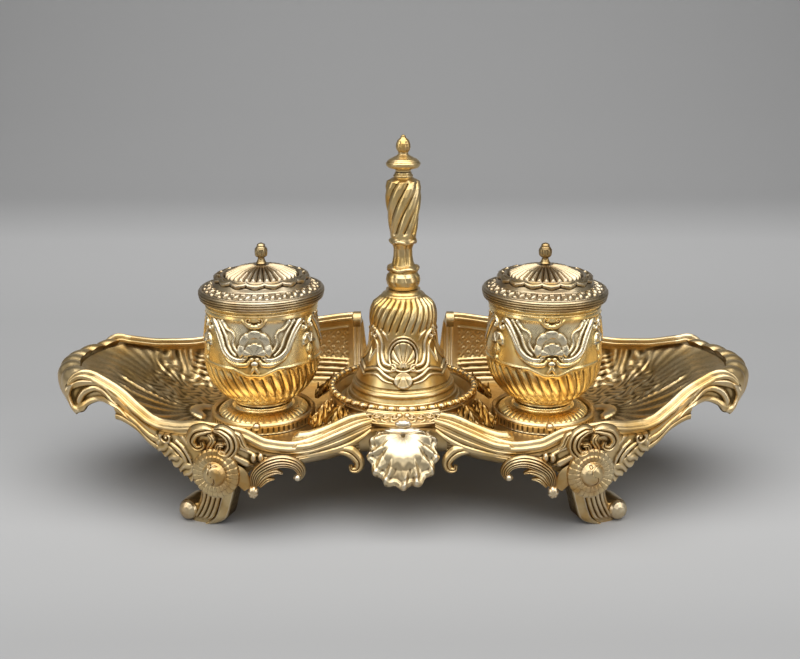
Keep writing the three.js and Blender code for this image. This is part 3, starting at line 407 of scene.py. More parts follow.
# The pen hollows: concave flutes fan from beside each pot to the end, with foliage behind them
shell_x, shell_y, flute_count = 99, 4, 26
turn = np.arctan2(ay - shell_y, ax - shell_x)
radius = np.hypot(ay - shell_y, ax - shell_x)
swirl = turn + 0.35 * np.sin(radius / 22)
ridge = (1 - np.abs(np.sin(swirl * flute_count / 2))) ** 2.4
inside = step(5, 12, radius) * step(1.9, 1.5, np.abs(turn))
inside *= step(64, 52, radius) * step(0, 5, ax - shell_x + 12)
veins = np.sin(swirl * 52 + 0.8 * radius) * step(30, 40, radius)
lower = step(16, -2, ay) * step(50, 40, radius)
upper = step(0, 10, ay) * step(92, 98, ax) * step(136, 128, ax)
foliage = np.sin(0.9 * ax + 2 * np.sin(0.5 * ay)) * np.sin(0.8 * ay + 1.7 * np.sin(0.45 * ax))
flutes = (1.1 * (ridge - 0.3) * lower + 0.08 * veins) * inside * np.clip(radius / 26, 0.3, 1)
flutes = flutes + 0.4 * foliage * upper * inside
hinge = 1.6 * bead(radius - 6.5, 3.4) * step(2.4, 1.8, np.abs(turn))

# Reeds and a trellis panel on the inner face of the back wall
behind = step(0.5, 3, ay - (back - back_cove)) * (ay > 0)
above = az - low
top = edge_z(x, 1) - low
wall_end = between(ax, 30, 31.5, 108, 118)
reeds = sum(0.75 * bead(above - height, 0.95) for height in (2.6, 4.7, 7, 9.6))
trellis_pitch = 5.2
a, b = (ax + above) / trellis_pitch, (ax - above) / trellis_pitch
lines = np.maximum(bead((a % 1) - 0.5, 0.11), bead((b % 1) - 0.5, 0.11))
dots = bead(np.hypot((a % 1 + 0.5) % 1 - 0.5, (b % 1 + 0.5) % 1 - 0.5), 0.22)
panel_bottom = 11.8
panel = step(panel_bottom, 12.6, above) * step(0.86, 0.83, above / top)
panel = panel * step(30, 31, ax) * step(104, 102, ax)
frame_lines = bead(above - panel_bottom, 0.7) + bead(above / top - 0.88, 0.02)
wall = behind * wall_end * (reeds + 0.5 * frame_lines + panel * (0.25 * lines + 0.4 * dots - 0.25))
heights = flutes + hinge + wall
below_back = np.hypot(back - ay, edge_z(x, 1) - az)
clear = step(1.2, 3.2, np.abs(ay - front)) * step(1.2, 3.2, below_back)
heights = np.where(clear > 0, heights * clear, 0)
# It stays plain beneath the two pot wells and the bell's stand
pot_x = 70.4
heights *= step(28.5, 31, np.hypot(ax - pot_x, ay)) * step(38, 40, np.hypot(ax, ay))
# The pen hollows and the tray's floor are set lower in relief, so they take more of the dark brown:
# painted shade there as well as tarnish.
relief = exposure(heights, 0.8) - 0.1 * inside - 0.05 * (az < low + 0.2)
normal = normals_of(base)
normal *= np.sign(normal[..., 2:3].mean())
part = plate(base + normal * heights[..., None], base - normal * tray_wall, relief)
piece("chased_tray", [part], *of_tray, "tray")


# End scrolls: the tray's ends roll over and down like the lip of a shell. Each roll is a cast strip of
# gilt silver, soldered to the tray between its two rims. Reeds run round it and spread as they go.
scroll_reach, scroll_drop, scroll_thickness, scroll_reed_pitch = 12, 13, 3.4, 10.5
scroll_centre = 0.35 * scroll_reach
scroll_radius = scroll_reach - scroll_centre
curl_start, curl_end = 2.06, -1.12
rim_width, rim_height, rim_overhang_share, seat_gap = 6.4, 4, 0.42, 0.3
ends = ((-1, "left"), (1, "right"))
rows = ((-1, "front"), (1, "back"))
corners = [(face, side, f"{row}_{end}") for face, row in rows for side, end in ends]


def curl_point(turn, inset):
    """How far out and up the roll's surface is at a turn, from the end of the tray's edge."""
    fall = np.where(turn < 0, scroll_drop, scroll_radius) - inset
    out = scroll_centre + (scroll_radius - inset) * np.cos(turn)
    return out, fall * np.sin(turn) - scroll_centre


edge_half_depth = edge_y(half_edge, 1)
scroll_half_width = edge_half_depth - rim_overhang_share * rim_width - seat_gap
y = np.linspace(-scroll_half_width, scroll_half_width, 190)[:, None]
share = np.linspace(0, 1, 90)
turn = curl_start + (curl_end - curl_start) * share
bow = end_bow * (1 - (y / edge_half_depth) ** 2)
phase = (y - 2) / (scroll_reed_pitch * (0.82 + 0.34 * share)) + 0.5 * share * np.sign(y)
reeds = np.abs(np.sin(np.pi * phase)) ** 0.8
fine = 0.3 * np.abs(np.sin(3 * np.pi * phase))
heights = 1.3 * (reeds - 1) + fine * (reeds - 1)
relief = exposure(heights, 0.7)
for side, end in ends:
    def roll(inset):
        out, up = curl_point(turn, inset)
        across_x = side * (half_edge + bow + out)
        return np.stack((across_x, y + 0 * out, floor_z(half_edge) + up + 0 * y), -1)
    part = plate(roll(0.02 - heights), roll(scroll_thickness + 0 * y), relief)
    piece(f"reeded_scroll_{end}", [part], *of_tray, f"end_scroll_{end}")


# Rims: cast mouldings, a fat torus between two fine beads, bent along the tray's edge and soldered.
# Each goes on round the side of the end scroll.
def smooth_curve(points, steps):
    """A curve through points, with steps places between each two."""
    points = np.array(points, float)
    points = np.vstack((2 * points[0] - points[1], points, 2 * points[-1] - points[-2]))
    t = np.linspace(0, 1, steps, endpoint=False)[:, None]
    parts = [
        0.5 * (2 * b + (c - a) * t + (2 * a - 5 * b + 4 * c - d) * t ** 2
               + (3 * b - a - 3 * c + d) * t ** 3)
        for a, b, c, d in zip(points, points[1:], points[2:], points[3:])
    ]
    return np.vstack(parts + [points[-2:-1]])


rim_outline = smooth_curve([
    [-0.42, 0.02], [-0.42, 0.3], [-0.36, 0.45], [-0.28, 0.42], [-0.25, 0.34], [-0.2, 0.4],
    [-0.13, 0.78], [0, 0.98], [0.13, 0.96], [0.23, 0.8], [0.27, 0.6], [0.3, 0.46], [0.37, 0.42],
    [0.43, 0.5], [0.51, 0.5], [0.57, 0.38], [0.58, 0.18], [0.52, 0.04],
], 5) * (rim_width, rim_height)
rim_relief = np.clip(exposure(rim_outline[:, 1:2], 0.8, 6)[:, 0], 0, 1)


def skin(grid, relief, **wraps):
    """One part from a grid of points that closes round on itself: its points, faces and exposure."""
    relief = np.broadcast_to(relief, grid.shape[:2])
    return grid.reshape(-1, 3), faces_of(*grid.shape[:2], **wraps), relief.ravel()


def swept(outline, relief, origins, across, up):
    """A closed bar: an outline carried along places, drawn in to a point at both ends."""
    count = len(origins)
    scale = np.concatenate(([0], np.ones(count), [0]))[:, None, None]
    order = np.concatenate(([0], np.arange(count), [count - 1]))
    origins, across, up = (ways[order][:, None] for ways in (origins, across, up))
    n, h = outline[:, 0][None, :, None], outline[:, 1][None, :, None]
    centre = outline.mean(0)
    base = origins + across * centre[0] + up * centre[1]
    grid = base + scale * (across * (n - centre[0]) + up * (h - centre[1]))
    return skin(grid, relief, wrap_columns=True)


def unit(vectors):
    return vectors / np.linalg.norm(vectors, axis=-1, keepdims=True)


def edge_frames(shares, side, face):
    """Places along an edge of the tray, with the ways outwards and up from it."""
    def at(s):
        x = side * s * half_edge
        return np.stack((x, edge_y(x, face), edge_z(x, face)), -1)
    along = at(np.minimum(shares + 0.01, 1)) - at(shares - 0.01)
    across = unit(np.stack((along[:, 1], -along[:, 0], 0 * along[:, 0]), -1))
    across *= np.sign(across[:, 1:2]) * face
    up = unit(np.cross(along, across))
    return at(shares), across, up * np.sign(up[:, 2:3])


gap_share, back_start_share = 0.137, 0.19
for face, side, corner in corners:
    start = gap_share if face < 0 else back_start_share
    origin, across, up = edge_frames(np.linspace(start, 1, 230), side, face)
    turn = np.linspace(curl_start, curl_end, 90)[4:]
    out, rise = curl_point(turn, 0.6 * rim_height)
    fall = np.where(turn < 0, scroll_drop, scroll_radius)
    normal = unit(np.stack((side * fall * np.cos(turn), 0 * turn, scroll_radius * np.sin(turn)), -1))
    volute = origin[-1] + np.stack((side * out, 0 * turn, rise), -1)
    origins = np.vstack((origin + seat_gap * up, volute))
    ways = np.vstack((across, np.repeat(across[-1:], len(turn), 0)))
    part = swept(rim_outline, rim_relief, origins, ways, np.vstack((up, normal)))
    piece(f"moulded_rim_{corner}", [part], *of_tray, f"rim_{corner}")


# Borders: cast aprons soldered under the rims and chased with leaves and curls. They are plain and
# hollow beside the shell, and ruffled like the lip of a shell beyond each foot.
border_thickness, border_lean, border_top_gap, border_end_share = 1.8, 2.5, 1.3, 0.92
border_bottom_shares = [
    [gap_share, 1.05], [0.31, 1.11], [0.42, 1.06], [0.5, 0.83], [0.56, 0.7], [0.64, 0.7], [0.7, 0.84],
    [0.74, 0.99], [0.8, 1.13], [0.85, 1.3], [0.93, 1.42],
]


def stroke(u, v, points, widths, height=1, groove=0, steps=8):
    """Heights of one chased line through points: half-round, with a groove down it if asked."""
    line = smooth_curve(points, steps)
    widths = np.interp(np.linspace(0, 1, len(line)), np.linspace(0, 1, len(widths)), widths)
    reach = widths.max()
    low, high = line.min(0) - reach, line.max(0) + reach
    near = (u > low[0]) & (u < high[0]) & (v > low[1]) & (v < high[1])
    heights = np.zeros_like(u)
    if not near.any():
        return heights
    at = np.stack((u[near], v[near]), -1)
    best = np.full(len(at), 1e9)
    width = np.full(len(at), reach)
    for a, b, wide, narrow in zip(line, line[1:], widths, widths[1:]):
        run = b - a
        t = np.clip((at - a) @ run / max(run @ run, 1e-9), 0, 1)
        distance = np.linalg.norm(at - a - t[:, None] * run, axis=1)
        closer = distance < best
        best[closer] = distance[closer]
        width[closer] = (wide + (narrow - wide) * t)[closer]
    share = best / width
    heights[near] = height * (bead(share, 1) - groove * bead(share, 0.45)) * width / reach
    return heights


def highest(*heights):
    """The highest of several heights at each point."""
    return functools.reduce(np.maximum, heights)


def stroked(heights, u, v, lines, steps=8):
    """Heights with chased lines laid over them. Each line is its points, its widths and its rise."""
    return highest(heights, *(
        stroke(u, v, points, widths, rise, 0, steps) for points, widths, rise in lines))


def curl(u, v, place, size, turns, hand, height, start, width):
    """Heights of a spiral line, thick outside and thin inside, that ends in a round eye."""
    t = np.linspace(0, 1, 26)
    reach = size * (1 - 0.82 * t ** 0.8)
    bend = start + hand * 2 * np.pi * turns * t
    points = np.stack((place[0] + reach * np.cos(bend), place[1] + reach * np.sin(bend)), -1)
    widths = [width * size, width * size * 0.8, width * size * 0.5]
    line = stroke(u, v, points, widths, height, steps=2)
    eye = height * bead(np.hypot(u - place[0], v - place[1]), 0.24 * size)
    return np.maximum(line, eye)


def wall_reach(x, face, z):
    """How far out the outside of the tray's wall is at a height."""
    rise = edge_z(x, face) - floor_z(x)
    turn = np.arcsin(np.clip((edge_z(x, face) - z) / rise, 0, 1))
    cove = front_cove if face < 0 else back_cove
    slant = np.hypot(cove * np.sin(turn), rise * np.cos(turn)) / (rise * np.cos(turn))
    return np.abs(edge_y(x, face)) - cove * (1 - np.cos(turn)) + tray_wall * slant


def border_reach(x, face):
    """The height of a border's top edge and how far the tray's wall stands out there."""
    top = np.minimum(edge_z(x, face), edge_z(x, -1)) - border_top_gap
    return top, wall_reach(x, face, top)


x = np.linspace(gap_share, border_end_share, 370)[:, None] * half_edge
drop = np.linspace(0, 1, 80)
for face, row in rows:
    top, reach = border_reach(x, face)
    bottom = floor_height * follow(border_bottom_shares, share_at(x))
    z = top + (bottom - top) * drop
    across_x = x + 0 * z
    height = 0.9 * bead(z - top + 2.2, 0.8) * step(84, 76, x) + bead(z - bottom, 1.3) * step(66, 58, x)
    height = stroked(height, across_x, z, (
        ([[18, 40.2], [28, 37.8], [42, 36.2], [60, 36.4]], [1.7, 1.5, 0.9, 0.3], 1.3),
        ([[18, 37.4], [27, 35.3], [38, 34.4], [52, 34.6]], [1.5, 1.2, 0.7, 0.2], 1.3)))
    # Two bands run on under the rim to the end, with a hollow between them
    middle_z = bottom + 0.52 * (top - bottom)
    bands = 1.3 * bead(z - bottom - 1.3, 1.6) + 1.1 * bead(z - middle_z - 0.5, 1.5)
    height = height + step(109, 115, x) * bands
    # A ruffled leaf edge below a hollow panel, between the foot and those bands
    ruffle = 0.5 + 0.5 * np.cos(2 * np.pi * (x + 0.6 * (z - bottom) + 0.5 * np.sin(x)) / 2.6)
    fringe_top = bottom + 8.2 + 0.5 * ruffle
    fringe = step(92, 94, x) * step(114, 111, x) * step(fringe_top, fringe_top - 0.8, z)
    height = height + fringe * (0.8 + 0.8 * ruffle * step(fringe_top + 2, fringe_top - 5, z))
    height = highest(height, curl(across_x, z, (107.6, 41.5), 3.4, 1.2, -1, 1.7, 0.6, 0.24))
    height = stroked(height, across_x, z, (
        ([[110.6, 42], [106.5, 46], [101, 44.4], [97, 40]], [1.1, 1.2, 0.9, 0.4], 1.5),
        ([[105.5, 39], [101.5, 36.6], [98.5, 33], [97.4, 28.6]], [0.8, 1.2, 1.2, 0.5], 1.3),
        ([[102.6, 40.8], [99, 38], [96, 33.4], [94.8, 29]], [0.6, 0.9, 0.9, 0.4], 1.1)), 4)
    # A strap beside the foot, with a boss at one end of it and a pair of beads at the other
    height = highest(height, 1.9 * bead(np.hypot(x - 80.8, z - 37.6), 2.5), *(
        2 * bead(np.hypot((x - place) / 1.45, (z - 36.6) / 2.5), 1) for place in (66.2, 63.1)))
    height = stroked(height, across_x, z, (
        ([[79, 39.4], [74, 36.4], [69.4, 33.8]], [1.7, 1.8, 1.8], 1.6),
        ([[76, 32.6], [70, 28.6], [66, 25.6]], [0.7, 0.9, 0.5], 0.9),
        ([[73, 37.4], [68.6, 33.8], [64.4, 31]], [0.3, 0.8, 0.4], 0.9)))
    relief = exposure(height, 0.7)
    for side, end in ends:
        depth = reach + seat_gap - border_lean * drop ** 2
        scallop = fringe * (ruffle - 1) * 0.7 * step(0.7, 1, drop)
        shape, inner = (
            np.stack((side * x + 0 * z, face * (depth + out), z - scallop), -1)
            for out in (border_thickness + height, 0.2))
        part = plate(shape, inner, relief)
        piece(f"chased_border_{row}_{end}", [part], *of_tray, f"border_{row}_{end}")


# Clasps: cast acanthus scrolls soldered over the rim above each foot. Ribbed leaves roll outwards
# from a middle stem into a large curl at each side.
def ribbon(path, widths, rise, ridges, depth_at, side, face):
    """A cast strip along a path in front of the tray's side, ridged along its length."""
    line = smooth_curve(path, 12)
    share = np.linspace(0, 1, len(line))
    half = np.interp(share, np.linspace(0, 1, len(widths)), widths)[:, None]
    along = unit(np.gradient(line, axis=0))
    w = np.linspace(-1, 1, 8 * ridges + 17)
    x = line[:, :1] - along[:, 1:] * w * half
    z = line[:, 1:] + along[:, :1] * w * half
    folds = np.abs(np.sin(np.pi * ridges * (w + 1) / 2)) ** 0.6
    height = rise * bead(w, 1.02) * (0.5 + 0.5 * folds) * (0.45 + 0.55 * half / max(widths))
    base = depth_at(x, z) - 0.4
    front = np.stack((side * x, face * (base + 0.4 + height), z), -1)
    back = np.stack((side * x, face * base, z), -1)
    return plate(front, back, exposure(height, 0.5, 3))


def full_turn(count):
    """Angles at even spaces round a circle."""
    return np.linspace(0, 2 * np.pi, count, endpoint=False)


def ball(place, sizes, face_y, side, face, ribs=0):
    """A rounded boss, ribbed if asked, at a place in front of the tray's side."""
    turn = np.linspace(0, np.pi, 26)[:, None]
    spin = full_turn(64)
    swell = 1 - 0.12 * (1 - np.abs(np.cos(ribs * spin / 2)) ** 0.7) * (ribs > 0)
    out = np.sin(turn) * swell
    grid = np.stack((
        side * (place[0] + sizes[0] * out * np.cos(spin)),
        face * (face_y + sizes[2] * np.cos(turn) + 0 * spin),
        place[1] + sizes[1] * out * np.sin(spin)), -1)
    return skin(grid, np.clip(0.85 - 2.4 * (1 - swell), 0, 1), wrap_columns=True)


def over_rim(face):
    """The way to a border's face, and out over the rim above it, at a place along and up."""
    over_front, over_back = 1.1, 2.6
    out = over_front if face < 0 else over_back
    def depth_at(x, z):
        top, reach = border_reach(x, face)
        return reach + seat_gap + border_thickness + out * step(top - 5, top, z)
    return depth_at


clasp_scrolls = (
    ([[84.6, 49.4], [88, 49.2], [92.6, 47.4], [94.6, 43.2], [92.4, 40], [89.4, 41], [89.6, 43.4]],
     [1.2, 2.6, 3, 2.7, 2.2, 1.7, 1.1], 3.6, 2),
    ([[86.4, 47.2], [84.4, 44.4], [86.4, 40.6], [88.4, 36.8]], [1, 1.8, 1.6, 0.5], 1.8, 2),
    ([[83.4, 49.8], [80, 49.8], [76, 47], [75.2, 42.4], [78, 38.6], [81.6, 39.4], [81.6, 42.4],
      [79.4, 43]], [1.2, 2.6, 3.3, 3.3, 2.8, 2.2, 1.7, 1.2], 4, 3),
    ([[76.4, 49.6], [72.4, 47.4], [70.4, 43], [68, 41.4]], [0.7, 1.5, 1.5, 0.5], 1.8, 2),
)
for face, side, corner in corners:
    parts = [ribbon(*scroll, over_rim(face), side, face) for scroll in clasp_scrolls]
    piece(f"acanthus_clasp_{corner}", parts, *of_tray)


# Volute cheeks: cast plates that close the sides of the rolled ends. The rim's two mouldings turn down
# on them into a hook, and a rounded band returns below it.
cheek_upper = [[159.4, 58.6], [153, 61.4], [146, 61.2], [140, 59.4], [132, 55], [125, 49.6]]
cheek_lower = [[154.8, 45], [151, 45.8], [148.2, 49], [141, 51.4], [133, 50], [125, 43.6]]
lines = [smooth_curve(line, 30) for line in (cheek_upper, cheek_lower)]
lines = [line[np.linspace(0, len(line) - 1, 90).astype(int)] for line in lines]
w = np.linspace(0, 1, 60)[None, :, None]
flat = lines[0][:, None] * (1 - w) + lines[1][:, None] * w
x, z = flat[..., 0], flat[..., 1]
w = w[..., 0]
height = 1.7 * bead(w - 0.82, 0.17) + 1.0 * bead(w - 0.1, 0.14) - 0.5 * bead(w - 0.5, 0.3)
height = stroked(height, x, z, (
    ([[157, 59], [158.8, 54], [157, 48.6], [153.6, 46.6]], [1.8, 2.1, 2.2, 1.8], 2.6),
    ([[133, 51.4], [139, 55.6], [145, 57.4], [150.2, 55.6], [152.8, 51.6], [152.6, 48]],
     [0.6, 1, 1.4, 1.7, 1.6, 1], 1.9)))
height = height * np.clip(np.minimum(w / 0.05, (1 - w) / 0.05), 0, 1)
relief = exposure(height, 0.7)
cheek_front, cheek_back, cheek_end_share = 1.2, 0.6, 0.484
for face, side, corner in corners:
    at_border = border_reach(np.minimum(x, 134), face)[1] + seat_gap + border_thickness - cheek_front
    at_end = cheek_end_share * half_depth + 0.2 * rim_width
    depth = at_border + (at_end - at_border) * step(133, 146, x) - 2 * step(129, 125, x)
    shape, inner = (
        np.stack((side * x, face * out, z), -1)
        for out in (depth + cheek_front + height, depth - cheek_back))
    piece(f"volute_cheek_{corner}", [plate(shape, inner, relief)], *of_tray)


# Rising mouldings: at each side of the front shell a cast moulding sweeps up from the rim to the
# stand. It has three ridges with hollows between them, and a small leaf curls down at its foot.
moulding_lines = (
    [[50, -50, 42.6], [42, -52, 43.8], [33, -50, 46], [25.4, -46.4, 48.4], [18.6, -43.4, 48.8]],
    [[50, -62.4, 40.4], [41, -62, 41.4], [30, -57.4, 44.4], [20, -52.6, 47], [14.6, -49.6, 47.6]],
    [[50, -60, 35], [41, -59.6, 35.4], [27, -55.4, 36.4], [20.6, -53.8, 40], [16.4, -50.4, 43.2]],
)
lines = np.array([smooth_curve(line, 40) for line in moulding_lines])
w = np.linspace(0, 2, 81)[:, None, None]
weights = ((w - 1) * (w - 2) / 2, w * (2 - w), w * (w - 1) / 2)
sheet = sum(weight * line for weight, line in zip(weights, lines)).transpose(1, 0, 2)
w = w[:, 0, 0]
ridges = 1.5 * bead(w - 0.12, 0.16) + 1.7 * bead(w - 1, 0.2) + 1.3 * bead(w - 1.86, 0.16)
ridges = ridges + 0.5 * bead(w - 0.6, 0.1) + 0.5 * bead(w - 1.5, 0.1)
fade = step(0, 0.1, np.linspace(0, 1, sheet.shape[0]))[:, None]
height = ridges * fade * step(0, 0.06, w) * step(2, 1.94, w)
normal = normals_of(sheet)
normal *= np.sign(-normal[..., 1:2].mean())
relief = exposure(height, 0.8, 4)
moulding_thickness, leaf_reach = 1.2, 55.5
shape, under = sheet + normal * height[..., None], sheet - moulding_thickness * normal
leaf = [[30, 37.4], [24, 36], [20, 31.6], [20.6, 28], [23.2, 27.6], [23.8, 29.6]]


def before_border(x, z):
    return leaf_reach + 0 * x


for side, end in ends:
    mirrored = np.array([side, 1, 1])
    parts = [plate(shape * mirrored, under * mirrored, relief),
             ribbon(leaf, [2.4, 3.1, 2.6, 2, 1.5, 0.8], 2.6, 2, before_border, side, -1)]
    piece(f"rising_moulding_{end}", parts, *of_tray)


# Shells: a cast and chased scallop hangs at the middle of the front, and another at the back. Broad
# lobes ripple round a smooth boss, and two small ribbed knobs cover the hinge of the shell.
shell_gilt = gilt_silver(
    "gilt_silver_rubbed_shell", "cebc96", "bea67c", "ded4c0", "564430", wear=0.8, roughness=0.3)
shell_half_width, shell_drop, shell_thickness, shell_bulge, shell_reach = 15.5, 20.2, 2.2, 3, 67.7
shell_fan, stand_radius, wave_reach, shell_lobe_count, shell_lobe_share = 2.25, 37.3, 8.4, 13, 0.05
boss_width, boss_height, boss_drop, boss_rise, hinge_drop = 9.4, 9.6, 8.2, 2.6, 1.6
shell_top = float(edge_z(0, -1))
turn = np.linspace(-shell_fan, shell_fan, 230)[:, None]
ring = np.linspace(0.06, 1, 96)
for face, row in rows:
    beside = wall_reach(shell_half_width, face, shell_top)
    hinge_y = max(beside, stand_radius + wave_reach) + 2 * seat_gap + shell_thickness
    lean = np.arctan2(shell_reach - hinge_y, shell_drop)
    length = np.hypot(shell_reach - hinge_y, shell_drop) / (1 + shell_lobe_share)
    lobe = 1 + shell_lobe_share * np.cos(shell_lobe_count * turn)
    round_off = shell_half_width * 1.02
    sideways = round_off * ring * lobe * np.sin(turn)
    drop = hinge_drop + ring * (length - round_off - hinge_drop + round_off * lobe * np.cos(turn))
    swing = turn + 0.06 * np.sin(7 * turn + 5 * ring)
    from_boss = np.hypot(sideways / boss_width, (drop - boss_drop) / boss_height)
    boss = boss_rise * np.clip(1 - from_boss ** 2, 0, 1) ** 0.8
    outside = step(0.6, 1.25, from_boss)
    lobes = np.abs(np.cos(shell_lobe_count / 2 * swing)) ** 1.1
    crinkle = 0.4 * np.sin(26 * swing + 9 * ring) * step(0.72, 0.86, ring)
    edge_line = 0.5 * bead(ring - 0.95, 0.04) - 0.35 * bead(ring - 0.86, 0.03)
    heights = boss + outside * (1.5 * lobes - 0.9 + crinkle + edge_line)
    relief = exposure(heights, 0.75, 4)
    bulge = shell_bulge * np.sin(ring * np.pi) + 0 * turn
    def shell_sheet(depth):
        out = bulge + depth
        across_y = face * (hinge_y + drop * np.sin(lean) + out * np.cos(lean))
        up_z = shell_top - drop * np.cos(lean) + out * np.sin(lean)
        return np.stack((sideways, across_y, up_z), -1)
    front_sheet = shell_sheet(heights * step(1.02, 0.94, ring) * 0.8 - 0.6)
    knob_y = stand_radius + wave_reach + 2.4
    parts = [plate(front_sheet, shell_sheet(-shell_thickness + 0 * ring), relief),
             ball((0, 46), (4, 1.9, 2), knob_y, 1, face, 9),
             ball((0, 42.8), (9, 1.9, 2.6), knob_y + 0.4, 1, face, 11)]
    piece(f"ruffled_shell_{row}", parts, shell_gilt, "tray", "shell_gilding", f"shell_{row}")


# Bell stand: a spun drum of silver, gilt like the tray and soldered to its floor. Its dished top holds
# the bell, and turned rings run round its side.
stand_base, stand_height, dish_depth, bead_radius = 31.8, 14.4, 4.4, 1.6


def outline(pairs, count, smooth=True):
    """Points at even spaces along a profile of [radius, height] pairs."""
    line = smooth_curve(pairs, 24) if smooth else np.array(pairs, float)
    runs = np.concatenate(([0], np.cumsum(np.hypot(*np.diff(line, axis=0).T))))
    places = np.linspace(0, runs[-1], count)
    return np.stack([np.interp(places, runs, line[:, i]) for i in (0, 1)], -1)


def turned(profile, inner, heights, count, centre, depth=0.7, spread=5):
    """A turned piece: a chased outer profile, a plain inner one, and heights raised from the outer."""
    around = full_turn(count)[:, None]
    slope = np.gradient(profile, axis=0)
    normal = np.stack((slope[:, 1], -slope[:, 0]), -1)
    normal /= np.maximum(np.linalg.norm(normal, axis=1, keepdims=True), 1e-9)
    heights = np.broadcast_to(heights, (count, len(profile)))
    relief = exposure(heights, depth, spread, wrap=True)
    r = np.maximum(profile[:, 0] + heights * normal[:, 0], 0)
    z = profile[:, 1] + heights * normal[:, 1]
    inner = np.array(inner, float).reshape(-1, 2)
    plain = np.full(len(inner), 0.42)
    r, z, relief = (
        np.concatenate((outside, np.tile(inside, (count, 1))), 1)
        for outside, inside in ((r, inner[:, 0]), (z, inner[:, 1]), (relief, plain)))
    grid = np.stack((centre[0] + r * np.cos(around), centre[1] + r * np.sin(around), centre[2] + z), -1)
    return skin(grid, relief, wrap_rows=True, wrap_columns=True)


dish_radius = stand_radius - 2 * bead_radius - seat_gap
stand_wall = 2
dish_floor = stand_height - dish_depth
drum = outline([
    [stand_radius, 0], [stand_radius, stand_height], [dish_radius, stand_height],
    [dish_radius - stand_wall, dish_floor], [0, dish_floor]], 300, False)
radius, height = drum.T
rings = 0.4 * bead(height - 2.4, 1) + 0.3 * bead(height - 11.6, 0.7) - 0.25
rings = np.where(radius > stand_radius - 0.3, rings, 0)
for ring_place, ring_width in ((22, 0.8), (25, 0.5)):
    rings = rings - 0.3 * bead(radius - ring_place, ring_width) * (radius < 30)
under = [
    [0, dish_floor - stand_wall], [dish_radius - 2 * stand_wall, dish_floor - stand_wall],
    [stand_radius - stand_wall, dish_floor - stand_wall], [stand_radius - stand_wall, 0]]
part = turned(drum, under, rings, 240, (0, 0, stand_base))
piece("spun_bell_stand", [part], *of_tray, "bell_stand")


# Bead and reel: a cast ring of barrel beads between pairs of thin discs, round the stand's top.
# A clasp at the front holds its two ends.
bead_gilt = gilt_silver(
    "gilt_silver_beading", "d4b06a", "b98d45", "f3e3bd", "3d2a12", wear=0.6, roughness=0.24)
ring_radius, ring_height, bead_count = stand_radius - bead_radius, 48.1, 46


def from_middle(turn, fields):
    """A turn measured from the middle of the field it is in, of several equal fields."""
    return (turn + np.pi / fields) % (2 * np.pi / fields) - np.pi / fields


across_turns = full_turn(20)
around = full_turn(bead_count * 22)[:, None]
phase = (around * bead_count / (2 * np.pi)) % 1
barrel = 0.72 + 0.27 * bead(phase - 0.36, 0.33)
discs = np.maximum(bead(phase - 0.78, 0.075), bead(phase - 0.93, 0.06))
swell = np.where(phase < 0.69, barrel, 0.55 + 0.38 * discs)
swell = highest(swell, 0.99 * bead(from_middle(around + np.pi / 2, 1), 0.062))
radius = bead_radius * swell
r = ring_radius + radius * np.cos(across_turns)
z = ring_height + radius * np.sin(across_turns)
grid = np.stack((r * np.cos(around), r * np.sin(around), z), -1)
part = skin(grid, np.clip((swell - 0.5) * 1.7, 0, 1), wrap_rows=True, wrap_columns=True)
piece("bead_and_reel_ring", [part], bead_gilt, "tray", "bead_gilding", "bead_ring")


# Wave bands: a sloped collar of silver, soldered below the beads at the front and the back. It is
# chased with running waves that end in a larger curl at each side, and two pearls under the clasp.
band_half_angle, band_top, band_fall, band_wall = 0.46, stand_height + bead_radius, 3.2, 1.4
band_radius = 41
around = np.linspace(-band_half_angle, band_half_angle, 310)[:, None]
share = np.linspace(0, 1, 76)
u, v = around * band_radius + 0 * share, wave_reach * share + 0 * around
wave_pitch, wave_count = 4.3, 7
waves = 0.25 * bead(v - 0.7, 0.5) + 0.35 * bead(v - wave_reach + 0.7, 0.6)
for i in range(wave_count):
    place = (i - (wave_count - 1) / 2) * wave_pitch
    hand, start = (1, 2.8) if place > 0 else (-1, 0.3)
    if abs(place) > 0.5 * wave_pitch:
        crest = [[place + hand * 1.9, 3.6], [place + hand * 0.8, 5.9], [place - hand * 1.2, 6.6]]
        waves = highest(waves, curl(u, v, (place, 3.3), 2, 1.25, -hand, 0.9, start, 0.2),
                        stroke(u, v, crest, [0.5, 0.7, 0.25], 0.7))
for hand in (-1, 1):
    waves = highest(waves, curl(u, v, (hand * 16.1, 5.2), 2.7, 1.2, hand, 1.3, 1.6, 0.24),
                    1.3 * bead(np.hypot(u - hand * 1.9, v - 2.1), 1.5))
relief = exposure(waves, 0.6, 5)
r, band_reach = stand_radius + seat_gap + wave_reach * share, stand_radius + seat_gap + wave_reach
top = band_top - band_fall * share
slope = np.array([band_fall, wave_reach]) / np.hypot(band_fall, wave_reach)
raise_by = (waves - 0.35) * between(share, 0, 0.06, 0.94, 1.01)


def collar(way, out, up):
    """One face of a band, by how far it stands out and how high it is."""
    reach = np.minimum(r + out * slope[0], band_reach)
    return np.stack((reach * np.cos(way), reach * np.sin(way), stand_base + up + 0 * way), -1)


for face, row in rows:
    way = around + face * np.pi / 2
    part = plate(collar(way, raise_by, top + raise_by * slope[1]),
                 collar(way, 0 * way, top - 2 * band_wall + band_wall * share), relief)
    piece(f"wave_scroll_band_{row}", [part], *of_tray, f"wave_band_{row}")
